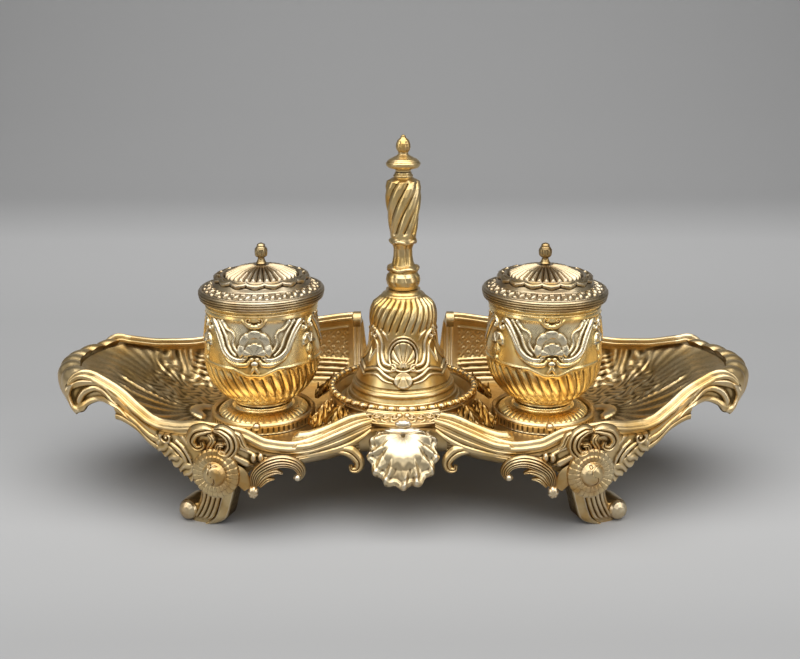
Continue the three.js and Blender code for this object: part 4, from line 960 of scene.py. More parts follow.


# Stand leaves: cast acanthus, curled forwards, soldered against each quarter of the drum. Their
# gilding is a darker gold than the tray's, darker still in the folds with patina and painted shade.
leaf_gilt = gilt_silver(
    "gilt_silver_rich_leaf", "a87c36", "705226", "d4bc8c", "241608", wear=0.5, roughness=0.3)
leaf_reach, leaf_height, leaf_middle, leaf_half_angle, leaf_tip = 6.6, 13.4, 0.75, 0.34, 0.45
leaf_section = outline([
    [0, 0], [1, 0], [0.95, 0.22], [0.66, 0.52], [0.5, 0.85], [0.2, 1], [0, 0.9]], 150, False)
share = np.linspace(0, 1, 200)[:, None]
spread = share - 0.5
bend = leaf_section[:, 1]
lobes = np.abs(np.cos(np.pi * (share * 7 + 0.9 * spread * bend * 4))) ** 0.6
veins = np.abs(np.cos(np.pi * (share * 21 + 2.2 * spread * bend * 4)))
outer_side = (leaf_section[:, 0] > 0.08) & (leaf_section[:, 1] > 0.02)
heights = np.where(outer_side, 1.25 * (lobes - 1) + 0.28 * (veins - 1) + 0.5 * bead(spread, 0.035), 0)
heights += np.where(outer_side, 0.7 * (bead(bend - 0.5, 0.12) - 1) * 0.5, 0)
relief = exposure(heights, 0.7, 4)
slope = np.gradient(leaf_section * (leaf_reach, leaf_height), axis=0)
normal = np.stack((slope[:, 1], -slope[:, 0]), -1) / np.linalg.norm(slope, axis=1, keepdims=True)
swell = leaf_tip + (1 - leaf_tip) * np.sin(share * np.pi)
# Lobed leaves spread from each over the tray's floor, with veins down them and tips that curl up
along = np.linspace(0, 1, 80)[:, None]
over = np.linspace(-1, 1, 50)
lobed = 0.72 + 0.28 * np.abs(np.cos(np.pi * (along * 4.5 + 0.1)))
half_leaf = 7.4 * np.sin(np.pi * np.clip(along * 0.9 + 0.09, 0, 1)) ** 0.6 * lobed
leaf_veins = np.abs(np.cos(np.pi * (4.5 * along - 1.3 * np.abs(over)))) ** 0.6
leaf_fine = np.abs(np.cos(np.pi * (13.5 * along - 4 * np.abs(over))))
leaf_relief = 1.3 * leaf_veins + 0.3 * leaf_fine + 1.1 * bead(over, 0.16)
leaf_level = exposure(leaf_relief + 0 * along, 0.7, 3)
leaf_swell = 13.4 - 7 * along + 1.6 * np.sin(2 * np.pi * along) + 2.4 * step(0.7, 1, along)
leaf_swell = leaf_swell - 2.4 * np.abs(over) * (0.4 + along)


def floor_leaf(way, size, hand):
    """The upper and lower faces of one leaf that lies outwards from the stand at an angle."""
    r = stand_radius + 0.8 + size * 17.5 * along - size * 3 * step(0.85, 1, along) + 0 * over
    off = size * half_leaf * over + hand * 2 * size * np.sin(2.2 * along)
    x, y = r * np.cos(way) - off * np.sin(way), r * np.sin(way) + off * np.cos(way)
    edge = 1 - np.abs(over) ** 6
    z = floor_height + seat_gap + (0.5 + 0.5 * size) * leaf_swell + leaf_relief * edge
    under = z - 1.4 - leaf_relief * edge - 3 * (1 - along) * edge
    return np.stack((x, y, z), -1), np.stack((x, y, under), -1)


out = leaf_section[:, 0] * leaf_reach * swell + heights * normal[:, 0]
up = leaf_section[:, 1] * leaf_height * swell + heights * normal[:, 1]
r = stand_radius + seat_gap + np.clip(out, 0, None)
level = np.vstack((relief[:1], relief, relief[-1:]))
for face, side, corner in corners:
    centre = np.arctan2(face * np.sin(leaf_middle), side * np.cos(leaf_middle))
    way = centre + (share * 2 - 1) * leaf_half_angle
    grid = np.stack((r * np.cos(way), r * np.sin(way), stand_base + np.clip(up, 0, None)), -1)
    first, last = (
        np.repeat(line.mean(1, keepdims=True), grid.shape[1], 1) for line in (grid[:1], grid[-1:]))
    parts = [skin(np.concatenate((first, grid, last)), level, wrap_columns=True)]
    parts += [plate(*floor_leaf(centre + swing, size, face * side), leaf_level)
              for swing, size in ((0, 1), (-0.32, 0.8), (0.32, 0.8))]
    piece(f"acanthus_on_stand_{corner}", parts, leaf_gilt, "tray", "stand_leaf_gilding",
          f"stand_leaf_{corner}")


# Feet: cast scroll legs, ribbed down the front, that splay out to a rolled toe. Each is soldered under
# the tray at its top. The toe is a barrel across the leg with rounded ends.
foot_gilt = gilt_silver(
    "gilt_silver_cast_foot", "cbb486", "b58f54", "e0d4ba", "46301a", wear=0.7, roughness=0.3)
foot_x, foot_inset, foot_width, foot_depth, foot_splay = 88, 13.5, 27, 13, 0.34
foot_height = floor_height - tray_wall - seat_gap
outer_side = [[0, -0.34], [0.05, -0.36], [0.14, -0.3], [0.25, -0.23], [0.36, -0.18], [0.46, -0.16],
              [0.6, -0.18], [0.8, -0.25], [1, -0.3]]
inner_side = [[0, 0.1], [0.03, 0.2], [0.08, 0.3], [0.14, 0.36], [0.25, 0.4], [0.36, 0.43], [0.46, 0.46],
              [0.6, 0.49], [0.8, 0.49], [1, 0.46]]
up = np.linspace(1, 0, 90)[:, None]
across = np.linspace(0, 1, 80)
outer, inner_edge = follow(outer_side, up), follow(inner_side, up)
a = (outer + (inner_edge - outer) * across) * foot_width
rib_share = np.clip((across - 0.08) / 0.58, 0, 1)
leg_ribs = np.abs(np.sin(np.pi * 4 * rib_share)) ** 0.7 * (rib_share > 0) * (rib_share < 1)
strip = step(0.68, 0.72, across) * (1.1 - 0.9 * bead(across - 0.85, 0.13) * step(0.1, 0.3, up))
pillow = 1 - 0.3 * np.abs(2 * across - 1) ** 4
height = 1.1 * leg_ribs * step(0.04, 0.12, up) + strip
height = height * step(0, 0.03, across) * step(1, 0.97, across)
leg_depth = (foot_depth / 2 - 1.3) * pillow * (1 - 0.12 * np.sin(np.pi * up)) + 0 * a
relief = exposure(height, 0.6, 4)
toe_line = outline([
    [0, -8.4], [2.2, -8], [3.9, -6.8], [4.8, -5], [5, -3], [5, 3], [4.8, 5], [3.9, 6.8], [2.2, 8],
    [0, 8.4]], 110, False)
toe_turns = full_turn(60)[:, None]
toe_a = -0.37 * foot_width - toe_line[:, 0] * np.cos(toe_turns)
toe_z = 5.1 + toe_line[:, 0] * np.sin(toe_turns)
# Painted shade: a dark ring round each end of the toe, where the barrel rounds off.
toe_relief = 0.72 - 0.5 * bead(np.abs(toe_line[:, 1]) - 5.2, 0.4) + 0 * toe_turns
z = up * foot_height + 0 * a


def splayed(a, y, z, side, face):
    """Points of a foot, measured across and through the leg, turned and set at its corner."""
    angle = -side * face * foot_splay
    turned_x = -side * a * np.cos(angle) - y * np.sin(angle)
    turned_y = -side * a * np.sin(angle) + y * np.cos(angle)
    return np.stack((side * foot_x + turned_x, face * (half_depth - foot_inset) + turned_y, z), -1)


for face, side, corner in corners:
    leg = plate(*(splayed(a, way * (leg_depth + height), z, side, face) for way in (1, -1)), relief)
    toe = splayed(toe_a, toe_line[:, 1] + 0 * toe_a, toe_z, side, face)
    toe = skin(toe, toe_relief, wrap_rows=True)
    piece(f"scroll_foot_{corner}", [leg, toe], foot_gilt, "tray", "foot_gilding", f"foot_{corner}")


# Rosettes: a cast boss of paired petals on the border above each foot. Its middle is a swirled dome,
# and a pin through the dome holds it to the border.
rosette_x, rosette_drop, rosette_radius, rosette_rise, rosette_wall = 83, 2, 11.3, 4.6, 1.6
petals = 12
around = full_turn(264)[:, None]
ring = np.linspace(0.02, 1, 66)
cone = follow([[0, 1], [0.2, 0.95], [0.36, 0.74], [0.46, 0.42], [0.5, 0.26], [0.56, 0.3], [0.7, 0.34],
               [0.76, 0.2], [0.9, 0.2], [1, 0.05]], ring)
ribs = np.abs(np.cos(petals * around)) ** 0.24
heights = 0.7 * (ribs - 1) * step(0.48, 0.56, ring) + 0 * around
swirl = 0.5 * (np.cos(2 * around + 9 * ring) > 0.93)
heights = heights - swirl * between(ring, 0.08, 0.16, 0.4, 0.46)
pin_x, pin_z = ring * np.cos(around) + 0.12, ring * np.sin(around) - 0.36
heights = heights - 1.1 * bead(np.hypot(pin_x, pin_z), 0.08)
relief = exposure(heights, 0.5, 3, wrap=True)
reach = (rosette_radius * ring * (1 - 0.04 * (1 - ribs) * ring))[..., None]
depths = (rosette_wall + rosette_rise * cone + heights, 0 * heights[:, ::-1])
level = np.concatenate((relief, 0 * relief + 0.4), 1)
cosine, sine, upwards = np.cos(around)[..., None], np.sin(around)[..., None], np.array([0, 0, 1])
for face, side, corner in corners:
    reach_now = border_reach(np.array([float(rosette_x)]), face)[1][0]
    out = reach_now + 2 * seat_gap + border_thickness
    centre = np.array([side * rosette_x, face * out, floor_height - rosette_drop])
    across = edge_frames(np.array([rosette_x / half_edge]), side, face)[1][0]
    flat = centre + reach * (cosine * np.cross(upwards, across) + sine * upwards)
    grid = np.concatenate([
        sheet + depth[..., None] * across for sheet, depth in zip((flat, flat[:, ::-1]), depths)], 1)
    piece(f"petalled_rosette_{corner}", [skin(grid, level, wrap_rows=True, wrap_columns=True)],
          foot_gilt, "tray", "foot_gilding", f"rosette_{corner}")


# Foot leaves: a cast acanthus scroll, soldered to the border beside each foot. Long ribs arch over
# together and roll into a curl at the tip, with shorter leaves below and a ribbed bud at the root.
leaf_scrolls = (
    ([[66.8, 22], [65.2, 29.4], [60.2, 33.6], [53.6, 35.4], [48, 34], [45.2, 30.2], [46.6, 27.4],
      [48.6, 28.2]], [1.6, 2.4, 3.1, 3, 2.6, 2.1, 1.5, 0.8], 2.6, 5),
    ([[79, 32.4], [73, 28.6], [68.6, 23]], [3.6, 3.9, 2.6], 1.3, 1),
    ([[64.8, 24.4], [61.6, 28.6], [56.8, 30.6], [53.4, 29.8]], [0.8, 1.6, 1.5, 0.5], 1.9, 2),
    ([[63.6, 23.6], [60.4, 26.6], [57, 27.2]], [0.7, 1.3, 0.4], 1.6, 2),
)
for face, side, corner in corners:
    def beside_foot(x, z):
        return border_reach(x, face)[1] + 2 * seat_gap + border_thickness + 0 * z
    bud_y = border_reach(np.array([66.5]), face)[1][0] + border_thickness + 2
    parts = [ribbon(*scroll, beside_foot, side, face) for scroll in leaf_scrolls]
    parts += [ball((66.4, 21.6), (2.5, 2.9, 2.3), bud_y, side, face, 7),
              ball((46.8, 28.2), (1.5, 1.5, 1.9), bud_y - 0.4, side, face)]
    piece(f"arched_leaf_{corner}", parts, foot_gilt, "tray", "foot_gilding", f"foot_leaf_{corner}")


# Back scrolls: a cast rib climbs each end of the back wall and rolls over at its top, where a ribbed
# knob fills the roll. It is soldered to the wall's inner face.
back_share, back_roll, back_width, back_thick, back_turn = 0.175, 4.2, 4.4, 2, 4.4
x = back_share * half_edge
top_y, top_z = float(edge_y(x, 1)), float(edge_z(x, 1))
rise = float(edge_z(x, 1) - floor_z(x))
lift, roll_radius = seat_gap + back_thick / 2, back_roll - back_thick / 2
roll_y, roll_z = top_y - lift - roll_radius, top_z + roll_radius / 2
t = np.linspace(-1, 1, 24)
top_line = back_thick * (0.5 - 0.3 * (1 - bead(np.abs(t) - 0.55, 0.4)) * 0.8)
section = np.concatenate((
    np.stack((t * back_width / 2, top_line), -1),
    np.stack((t[::-3] * back_width / 2, -back_thick / 2 + 0 * t[::-3]), -1)))
level = np.concatenate((np.clip(0.5 + (top_line - 0.6), 0, 1), 0.4 + 0 * t[::-3]))
for side, end in ends:
    spots, ways_up = [], []
    for turn in np.linspace(np.pi / 2 * 5 / 6, np.pi / 12, 40):
        way = np.array([-rise * np.cos(turn), back_cove * np.sin(turn)])
        way /= np.hypot(*way)
        spots.append([side * x, top_y - back_cove * (1 - np.cos(turn)) + lift * way[0],
                      top_z - rise * np.sin(turn) + lift * way[1]])
        ways_up.append([0, *way])
    for turn in np.linspace(0, back_turn, 60):
        way = np.array([0, -np.cos(turn), -np.sin(turn)])
        spots.append(np.array([side * x, roll_y, roll_z]) - way * roll_radius)
        ways_up.append(way)
    across = np.tile([[1.0, 0, 0]], (len(spots), 1))
    part = swept(section, level, np.array(spots), across, np.array(ways_up))
    knob = ball((x, roll_z), (3, 3.4, 3.4), roll_y, side, 1, 5)
    piece(f"rolled_rib_{end}", [part, knob], *of_tray, f"back_scroll_{end}")


# Pot wells: a spun ring of silver on the tray's floor that each pot stands in, with a pearl soldered
# on at the front.
well_height, well_floor, well_wall, pearl_radius, well_inner = 5.4, 1.8, 2.4, 2, 23.6
well_outer, well_base, well_count = well_inner + well_wall, floor_height + seat_gap, 420
ring_line = outline([
    [0, 0], [well_outer, 0], [well_outer, 0.8 * well_height], [well_inner + well_wall / 2, well_height],
    [well_inner, 0.8 * well_height], [well_inner, well_floor], [0, well_floor]], 150, False)
height = ring_line[:, 1]
outside = (ring_line[:, 0] > well_outer - 0.2) & (height > 0.3)
tongues = np.abs(np.sin(full_turn(well_count)[:, None] * 30)) ** 0.6
heights = 0.45 * (tongues - 1) * bead(height - 1.9, 1.5) - 0.25 + 0.25 * bead(height - 3.9, 0.55)
heights = np.where(outside, heights, 0)
turns = np.linspace(0.03, np.pi - 0.03, 24)[:, None]
spin, pearl_z = full_turn(32), well_base + 0.75 * well_height
r = pearl_radius * np.sin(turns)
for side, end in ends:
    ring_part = turned(ring_line, [], heights, well_count, (side * pot_x, 0, well_base), 0.4)
    grid = np.stack((
        side * pot_x + r * np.cos(spin), -well_outer + r * np.sin(spin),
        pearl_z + pearl_radius * np.cos(turns) + 0 * spin), -1)
    parts = [ring_part, skin(grid, 0.9, wrap_columns=True)]
    piece(f"spun_well_{end}", parts, *of_tray, f"pot_well_{end}")


# Pots: raised cups with a swirl of gadroons round the bowl and three chased cartouches above it, each
# a shell between two C-scrolls. The gilding is rich and yellow, and rubbed through on the cartouches.
pot_gilt = gilt_silver(
    "gilt_silver_rich_yellow", "fde2a0", "f0ca7a", "dfd3b6", "604618", wear=0.5, roughness=0.25)
pot_foot_radius, pot_foot_height, pot_radius, pot_height, pot_wall = 23, 6.4, 29.5, 54, 1.8
pot_base = floor_height + 2 * seat_gap + well_floor
pot_body_base = pot_base + pot_foot_height + seat_gap
mouth_share = 0.983
pot_line = [
    [0.0, 0], [0.46, 0], [0.6, 0.05], [0.73, 0.1], [0.85, 0.175], [0.93, 0.25], [0.985, 0.35],
    [1, 0.45], [0.985, 0.6], [0.955, 0.73], [0.94, 0.83], [0.965, 0.88], [0.955, 0.93],
    [mouth_share, 0.97], [mouth_share, 1],
]
bowl = outline(np.array(pot_line[1:]) * (pot_radius, pot_height), 250)
bowl[:, 1] = np.clip(bowl[:, 1], 0, pot_height)
bowl = np.vstack(([[0, 0]], bowl))
pot_inside = [[r - pot_wall, z] for r, z in bowl[::-18] if z > 4] + [[12, pot_wall], [0, pot_wall]]
pot_count, field_count = 720, 3
around = full_turn(pot_count)[:, None]
height = bowl[:, 1]
# Three fields, each measured from its own middle: u runs round the pot and v up it
field = from_middle(around + np.pi / 2, field_count)
u, v = field * pot_radius + 0 * height, height + 0 * around
mirror = np.abs(u)
gadroon_count, gadroon_top = 36, 24.3
swag_line = follow([[0, 21.4], [3, 21.2], [7.4, 22.8], [12, 24.2], [31, 24.5]], mirror[:, :1])
twist = 0.3 * np.clip(height / gadroon_top, 0, 1)
gadroons = np.abs(np.sin((around + twist) * gadroon_count / 2)) ** 0.7
gadroon_zone = step(1.2, 3.5, height) * step(swag_line - 0.5, swag_line - 3, v)
heights = 1.1 * (gadroons - 1) * gadroon_zone
# Each field's cartouche: the chased work is rubbed to silver, and its gold edges keep their gilding
c_scroll = [[28.7, 44.4], [26.2, 45.2], [23.6, 43.4], [20.9, 40.2], [18.3, 36], [16.2, 32.4],
            [12.8, 29.8], [8.8, 28.6], [5.6, 29]]
chased = stroke(mirror, v, c_scroll, [0.9, 1.7, 1.7, 1.5, 1.3, 1.1], 1.6, 0.3, 6)
gold_line = [[18.4, 32.4], [14.2, 28.6], [9, 26.6], [4.2, 26.8], [2.6, 28.4]]
gold_edge = stroke(mirror, v, gold_line, [0.3, 0.9, 1.2, 1.2, 0.8], 1.2)
chased = stroked(chased, mirror, v, (
    ([[18.6, 46.2], [17.2, 44.6], [15.2, 43], [12.8, 42.2], [11.3, 40.8], [11, 38.6], [11.4, 36.4],
      [9.6, 33.6], [7.4, 31.6]], [0.7, 0.65, 0.55, 0.6, 0.6], 1),
    ([[21.6, 46], [19, 43.6], [17, 41.2], [15.4, 38.6], [14, 35.4], [12, 32.8], [9.8, 31]],
     [0.5, 0.7, 0.6, 0.6], 0.9)), 3)
# Its shell, a smaller one cupped inside a larger
turn, reach = np.arctan2(u, v - 34.6), np.hypot(u, v - 34.6)
outer_lobes = np.abs(np.cos(turn * 3.5)) ** 0.6
outer_edge = 8.3 + 0.8 * outer_lobes
outer_rise = step(outer_edge, outer_edge - 0.7, reach) * step(2.25, 2.0, np.abs(turn))
outer_rise *= 0.55 + 0.7 * outer_lobes * bead(reach - 7, 2.2)
turn, reach = np.arctan2(u, v - 31.8), np.hypot(u, v - 31.8)
inner_lobes = np.abs(np.cos(turn * 4.5)) ** 0.6
inner_edge = 5.4 + 0.5 * inner_lobes
inner_rise = step(inner_edge, inner_edge - 0.6, reach) * step(1.95, 1.7, np.abs(turn))
inner_rise *= 1.35 + 0.55 * inner_lobes * reach / 5.4
# A palmette and a pendant hang between the fields
field_half_width = 30.9
beside = field_half_width - mirror
turn, reach = np.arctan2(beside, v - 34), np.hypot(beside, v - 34)
palm = step(5.2, 4.6, reach) * step(1.9, 1.6, turn) * (0.7 + 0.6 * np.abs(np.cos(turn * 3.5)) ** 0.7)
lower_knob = 1.2 * bead(np.hypot(mirror, (v - 27.2) * 1.3), 1.9)
knot = 1.2 * bead(np.hypot(mirror - 1.4, (v - 29.6) * 1.2), 1.25)
chased = highest(
    chased, outer_rise, inner_rise, lower_knob, 1.2 * palm,
    curl(mirror, v, (5, 30.4), 1.9, 1.0, 1, 1.5, 1.2, 0.28),
    curl(mirror, v, (27.9, 42.2), 2.5, 1.1, -1, 1.5, 1.7, 0.26))
gold_edge = highest(
    gold_edge, knot, 1.1 * bead(np.hypot(beside, v - 26.2), 1.5),
    curl(mirror, v, (2.7, 48), 2, 1.1, 1, 1.4, -1.9, 0.26),
    stroke(mirror, v, [[0.1, 26], [0.8, 24.4], [1.8, 22.6]], [0.7, 1, 0.7], 1.2),
    stroke(mirror, v, [[0, 44.7], [2.6, 45], [4.8, 46.2], [6.2, 48.2]], [1, 0.9, 0.4], 1),
    stroke(beside, v, [[0.1, 33.4], [1, 30.4], [0.1, 27.6]], [0.9, 1.3, 0.6], 1.1))
cartouche = highest(chased, gold_edge)
# The ground between them is pricked all over and lies lower
field_edge = np.interp(v.ravel(), [28, 31, 34, 38, 42, 46], [8, 13.5, 16.6, 19, 21.6, 25])
field_edge = field_edge.reshape(v.shape)
ground = step(field_edge + 0.5, field_edge - 0.5, mirror) * step(29, 31, v) * step(47.6, 46.4, v)
ground *= step(0.3, 0.05, cartouche)
pricks = 0.1 * (np.sin(u * 5.3) * np.sin(v * 5.1) - 1)
swag = 0.7 * bead(v - swag_line, 0.7)
heights = heights + 0.85 * cartouche + 0.5 * swag + ground * (pricks - 0.25)
band = 0.5 * bead(height - 49.8, 0.45) + 0.55 * bead(height - 51.4, 0.55)
heights = heights + band - 0.75 * (height > 1) * step(53.9, 53, height)
heights = heights * step(0, 1.2, height) * step(pot_height, 53.6, height)
rubbed = step(field_edge + 1.6, field_edge - 0.6, mirror) * step(27, 30, v) * step(48, 46.6, v)
rubbed = highest(0.75 * rubbed, step(0.35, 0.8, chased)) * step(0.4, 0.1, gold_edge)
rubbed = highest(rubbed, 0.85 * palm)
foot_line = outline(np.array([
    [0.0, 0], [0.97, 0], [1, 0.19], [0.98, 0.38], [0.83, 0.69], [0.67, 0.81], [0.62, 1], [0.0, 1],
]) * (pot_foot_radius, pot_foot_height), 110, False)
lip = (foot_line[:, 0] > 14.5) & (foot_line[:, 1] > 0.4)
along_lip = foot_line[:, 1] / pot_foot_height
foot_leaves = np.abs(np.sin(around * 22)) ** 0.6 * bead(along_lip - 0.55, 0.2)
foot_heights = np.where(lip, 0.35 * foot_leaves + 0.4 * bead(along_lip - 0.88, 0.08)
                        + 0.25 * bead(along_lip - 0.3, 0.08) - 0.45, 0)
for side, end in ends:
    foot_part = turned(foot_line, [], foot_heights, pot_count, (side * pot_x, 0, pot_base), 0.4)
    piece(f"spun_pot_foot_{end}", [foot_part], pot_gilt, f"pot_{end}", "pot_gilding",
          f"pot_foot_{end}")
    body_part = turned(bowl, pot_inside, heights, pot_count, (side * pot_x, 0, pot_body_base), 0.8, 7)
    made = piece(f"raised_pot_{end}", [body_part], pot_gilt, f"pot_{end}", "pot_gilding",
                 f"pot_body_{end}")
    painted(made, "rubbed", np.pad(rubbed, ((0, 0), (0, len(pot_inside)))))


# Liners: plain spun silver cups for the ink, greyed by it. Each hangs in its pot by a flat lip on the
# pot's mouth, and lifts out.
liner_silver = gilt_silver(
    "spun_silver_ink_cup", "b9b4a8", "9b958a", "d9d5cc", "35322d", wear=0.4, roughness=0.3)
liner_radius, liner_share, liner_wall, liner_lip, liner_count = 23.6, 0.222, 1.2, 1.2, 200
liner_depth = pot_height * (1 - liner_share)
mouth = pot_radius * mouth_share
lip_under = liner_depth + seat_gap
lip_top = lip_under + liner_lip
cup = outline([
    [0, 0], [0.76 * liner_radius, 0], [0.95 * liner_radius, 0.08 * liner_depth],
    [liner_radius, 0.2 * liner_depth], [liner_radius, lip_under], [mouth - seat_gap, lip_under],
    [mouth - seat_gap, lip_top], [liner_radius - liner_wall, lip_top],
    [liner_radius - liner_wall, 0.2 * liner_depth],
    [0.95 * liner_radius - liner_wall, 0.08 * liner_depth + 0.6],
    [0.74 * liner_radius - liner_wall, liner_wall], [0, liner_wall]], 150, False)
turning_marks = 0.03 * np.sin(cup[:, 1] * 4 + cup[:, 0] * 3)
liner_base = pot_body_base + pot_height - liner_depth
for side, end in ends:
    part = turned(cup, [], turning_marks, liner_count, (side * pot_x, 0, liner_base), 0.3)
    piece(f"spun_liner_{end}", [part], liner_silver, f"liner_{end}", "liner_silver", f"liner_{end}")


# Lids: raised covers with flutes that run up to the knop inside a scalloped ring, and a band of
# small leaves outside it. The knop is cast and held by a nut inside.
# The lids' hollows go nearly black: patina, and painted shade that makes the tongues read under the
# soft light.
lid_gilt = gilt_silver(
    "gilt_silver_rubbed_lid", "b09a70", "987a4a", "c4b8a2", "2a1e12", wear=0.6, roughness=0.28)
lid_wall, lid_skirt, lid_rise, lid_collar, lid_clearance = 1.6, 3.2, 13.6, 5.5, 0.6
lid_radius = mouth + lid_clearance + lid_wall
stud_hole, lid_count, tongue_count, scallop_count = 1.5, 840, 32, 16
lid_seat = pot_body_base + pot_height + 2 * seat_gap + liner_lip
lid_shares = np.array([
    [1, 0.08], [0.96, 0.15], [0.76, 0.34], [0.74, 0.46], [0.61, 0.66], [0.38, 0.88], [0.13, 0.99],
]) * (lid_radius, lid_rise)
lid_line = np.vstack((
    [[lid_radius, -lid_skirt], [lid_radius, 0.04 * lid_rise]], lid_shares, [[stud_hole, lid_rise]]))
lid_line = outline(lid_line, 300, False)
collar_radius = liner_radius - liner_wall - seat_gap
collar_inner = collar_radius - liner_wall
lid_under = [
    [stud_hole, lid_rise - lid_wall], [0.36 * lid_radius, 0.88 * lid_rise - lid_wall - 0.4],
    [0.58 * lid_radius, 0.66 * lid_rise - lid_wall - 0.4], [collar_inner, lid_wall],
    [collar_inner, -lid_collar], [collar_radius, -lid_collar], [collar_radius, 0],
    [lid_radius - lid_wall, 0], [lid_radius - lid_wall, -lid_skirt]]
around = full_turn(lid_count)[:, None]
r, h = lid_line.T
share = r / lid_radius
on_top = h > 0.1 * lid_rise
# Thirty-two tongues, long rounded ribs that fan out from the knop, with a groove between them that
# patina and painted shade darken to a dark line
ended = np.clip((share - 0.545) / 0.05, 0, 1)
tongue = np.abs(np.sin(around * tongue_count / 2)) ** 0.8 * np.sqrt(1 - ended ** 2)
tongue_zone = step(0.1, 0.2, share) * step(0.63, 0.61, share) * on_top
scallops = np.abs(np.cos(around * scallop_count / 2)) ** 0.6
scallop_line = 0.7 + 0.035 * scallops
scallop_zone = step(0.6, 0.63, share) * step(scallop_line + 0.014, scallop_line, share) * on_top
scallop_rise = 0.5 + 1.3 * bead(share - scallop_line + 0.02, 0.04)
leaf_turn = ((around * 28 / (2 * np.pi)) % 1 - 0.5) * 0.2
leaf_zone = step(0.765, 0.79, share) * step(0.95, 0.93, share) * on_top
lean = leaf_turn + 0.35 * (share - 0.86)
leafage = highest(
    bead(np.hypot(lean, (share - 0.845) * 0.8), 0.042),
    0.8 * bead(np.hypot(np.abs(leaf_turn) - 0.1, (share - 0.9) * 1.2), 0.036),
    0.7 * bead(np.hypot(np.abs(leaf_turn) - 0.085, (share - 0.805) * 1.3), 0.03))
rings = bead(share - 0.965, 0.02) + 0.6 * bead(share - 0.775, 0.01)
lid_heights = tongue_zone * (0.9 + share) * 1.3 * (tongue - 1)
lid_heights = lid_heights + scallop_zone * scallop_rise
lid_heights = lid_heights + leaf_zone * (1.0 * leafage - 0.6) + 0.4 * rings * on_top
skirt = 0.42 * (bead(h + 2.5, 0.5) + bead(h + 1.2, 0.45) + bead(h - 0.1, 0.45)) - 0.42
skirt = skirt - 0.9 * np.clip(-h / lid_skirt, 0, 1) ** 1.3
lid_heights = np.where((share > 0.995) & (h < 0.08 * lid_rise), skirt, lid_heights)
lid_heights = np.minimum(lid_heights, np.where(share > 0.97, 0, 9))
golden = highest(scallop_zone * scallops, (share > 0.995) * 0.9) + 0 * lid_heights
# The knop: a bud on a narrow neck, on a stud that goes through the lid to its nut
knop_radius, knop_height, knop_count = 3.3, 10.5, 120
knop_line = outline(np.array([
    [0.0, 0], [0.78, 0], [0.66, 0.1], [0.52, 0.22], [0.62, 0.3], [0.9, 0.38], [1, 0.54], [0.95, 0.7],
    [0.78, 0.78], [0.62, 0.82], [0.64, 0.88], [0.42, 0.95], [0, 1],
]) * (knop_radius, knop_height), 150)
knop_line[:, 0] = np.clip(knop_line[:, 0], 0, knop_radius)
knop_turns = full_turn(knop_count)[:, None]
kz = knop_line[:, 1] / knop_height
buds = np.abs(np.cos(knop_turns * 4 + 1.5 * kz)) ** 0.7
knop_heights = 0.35 * (buds - 1) * step(0.36, 0.46, kz) * step(0.72, 0.64, kz)
knop_heights = knop_heights - 0.3 * bead(kz - 0.27, 0.03) - 0.25 * bead(kz - 0.74, 0.03)


def stud(radius, length, count, centre):
    """A plain pin below a cast piece, which goes through the sheet under it."""
    line = outline([[0, -length], [radius, -length], [radius, 0.2], [0, 0.2]], 40, False)
    return turned(line, [], 0, count, centre)


for side, end in ends:
    part = turned(lid_line, lid_under, lid_heights, lid_count, (side * pot_x, 0, lid_seat), 0.6, 5)
    made = piece(f"fluted_lid_{end}", [part], lid_gilt, f"lid_{end}", "lid_gilding", f"lid_{end}")
    painted(made, "rubbed", np.pad(0.4 - 0.4 * golden, ((0, 0), (0, len(lid_under)))))
    centre = (side * pot_x, 0, lid_seat + lid_rise + seat_gap)
    parts = [turned(knop_line, [], knop_heights, knop_count, centre, 0.4), stud(1.2, 4.7, 24, centre)]
    piece(f"bud_knop_{end}", parts, lid_gilt, f"lid_{end}", "lid_gilding", f"lid_knop_{end}")


# Bell: a raised dome, swirl-fluted at its crown and chased below with C-scrolls, a small shell and a
# wavy double ribbon. Its handle is cast in one with a leafy waist and a swirled grip.
bell_gilt = gilt_silver(
    "gilt_silver_pale_bell", "d4b980", "be9954", "dfd3ba", "54401c", wear=0.6, roughness=0.3)
bell_radius, bell_height, bell_wall, bell_hole, bell_count = 29, 55.6, 2, 1.9, 600
bell_base = stand_base + stand_height - dish_depth + seat_gap
bell_line = np.array([
    [1, 0], [1, 0.027], [0.95, 0.063], [0.895, 0.11], [0.785, 0.25], [0.705, 0.36], [0.595, 0.486],
    [0.575, 0.61], [0.597, 0.765], [0.55, 0.865], [0.465, 0.91], [0.3, 0.98], [0.283, 1],
    [0.066, 1],
]) * (bell_radius, bell_height)
bell_outer = outline(bell_line, 330)
bell_outer[:, 1] = np.clip(bell_outer[:, 1], 0, bell_height)
bell_outer[:, 0] = np.clip(bell_outer[:, 0], bell_hole, bell_radius)
crown_under = 0.935 * bell_height
bell_inner = [[bell_hole, crown_under], [4.8, crown_under]] + [
    [r - bell_wall, z] for r, z in bell_outer[::-12] if 2 < z < 0.91 * bell_height]
bell_inner += [[bell_radius - bell_wall - 0.6, 0]]
around = full_turn(bell_count)[:, None]
r, h = bell_outer.T
flute_count, waist_radius, field_half_width = 26, 18.5, 19.4
flutes = np.abs(np.sin((around - 0.022 * (h - 30)) * flute_count / 2)) ** 0.6
bell_heights = 1.1 * (flutes - 1) * between(h, 35.5, 38, 51, 53.4)
rings = 0
for ring_height, ring_width, ring_rise in (
    (53.2, 0.6, 0.4), (2, 1.1, 0.7), (4.6, 0.5, 0.5), (8.2, 1.2, 0.8), (10.8, 0.7, -0.5),
):
    rings = rings + ring_rise * bead(h - ring_height, ring_width)
bell_heights = bell_heights + rings * (r > 5) - 0.3
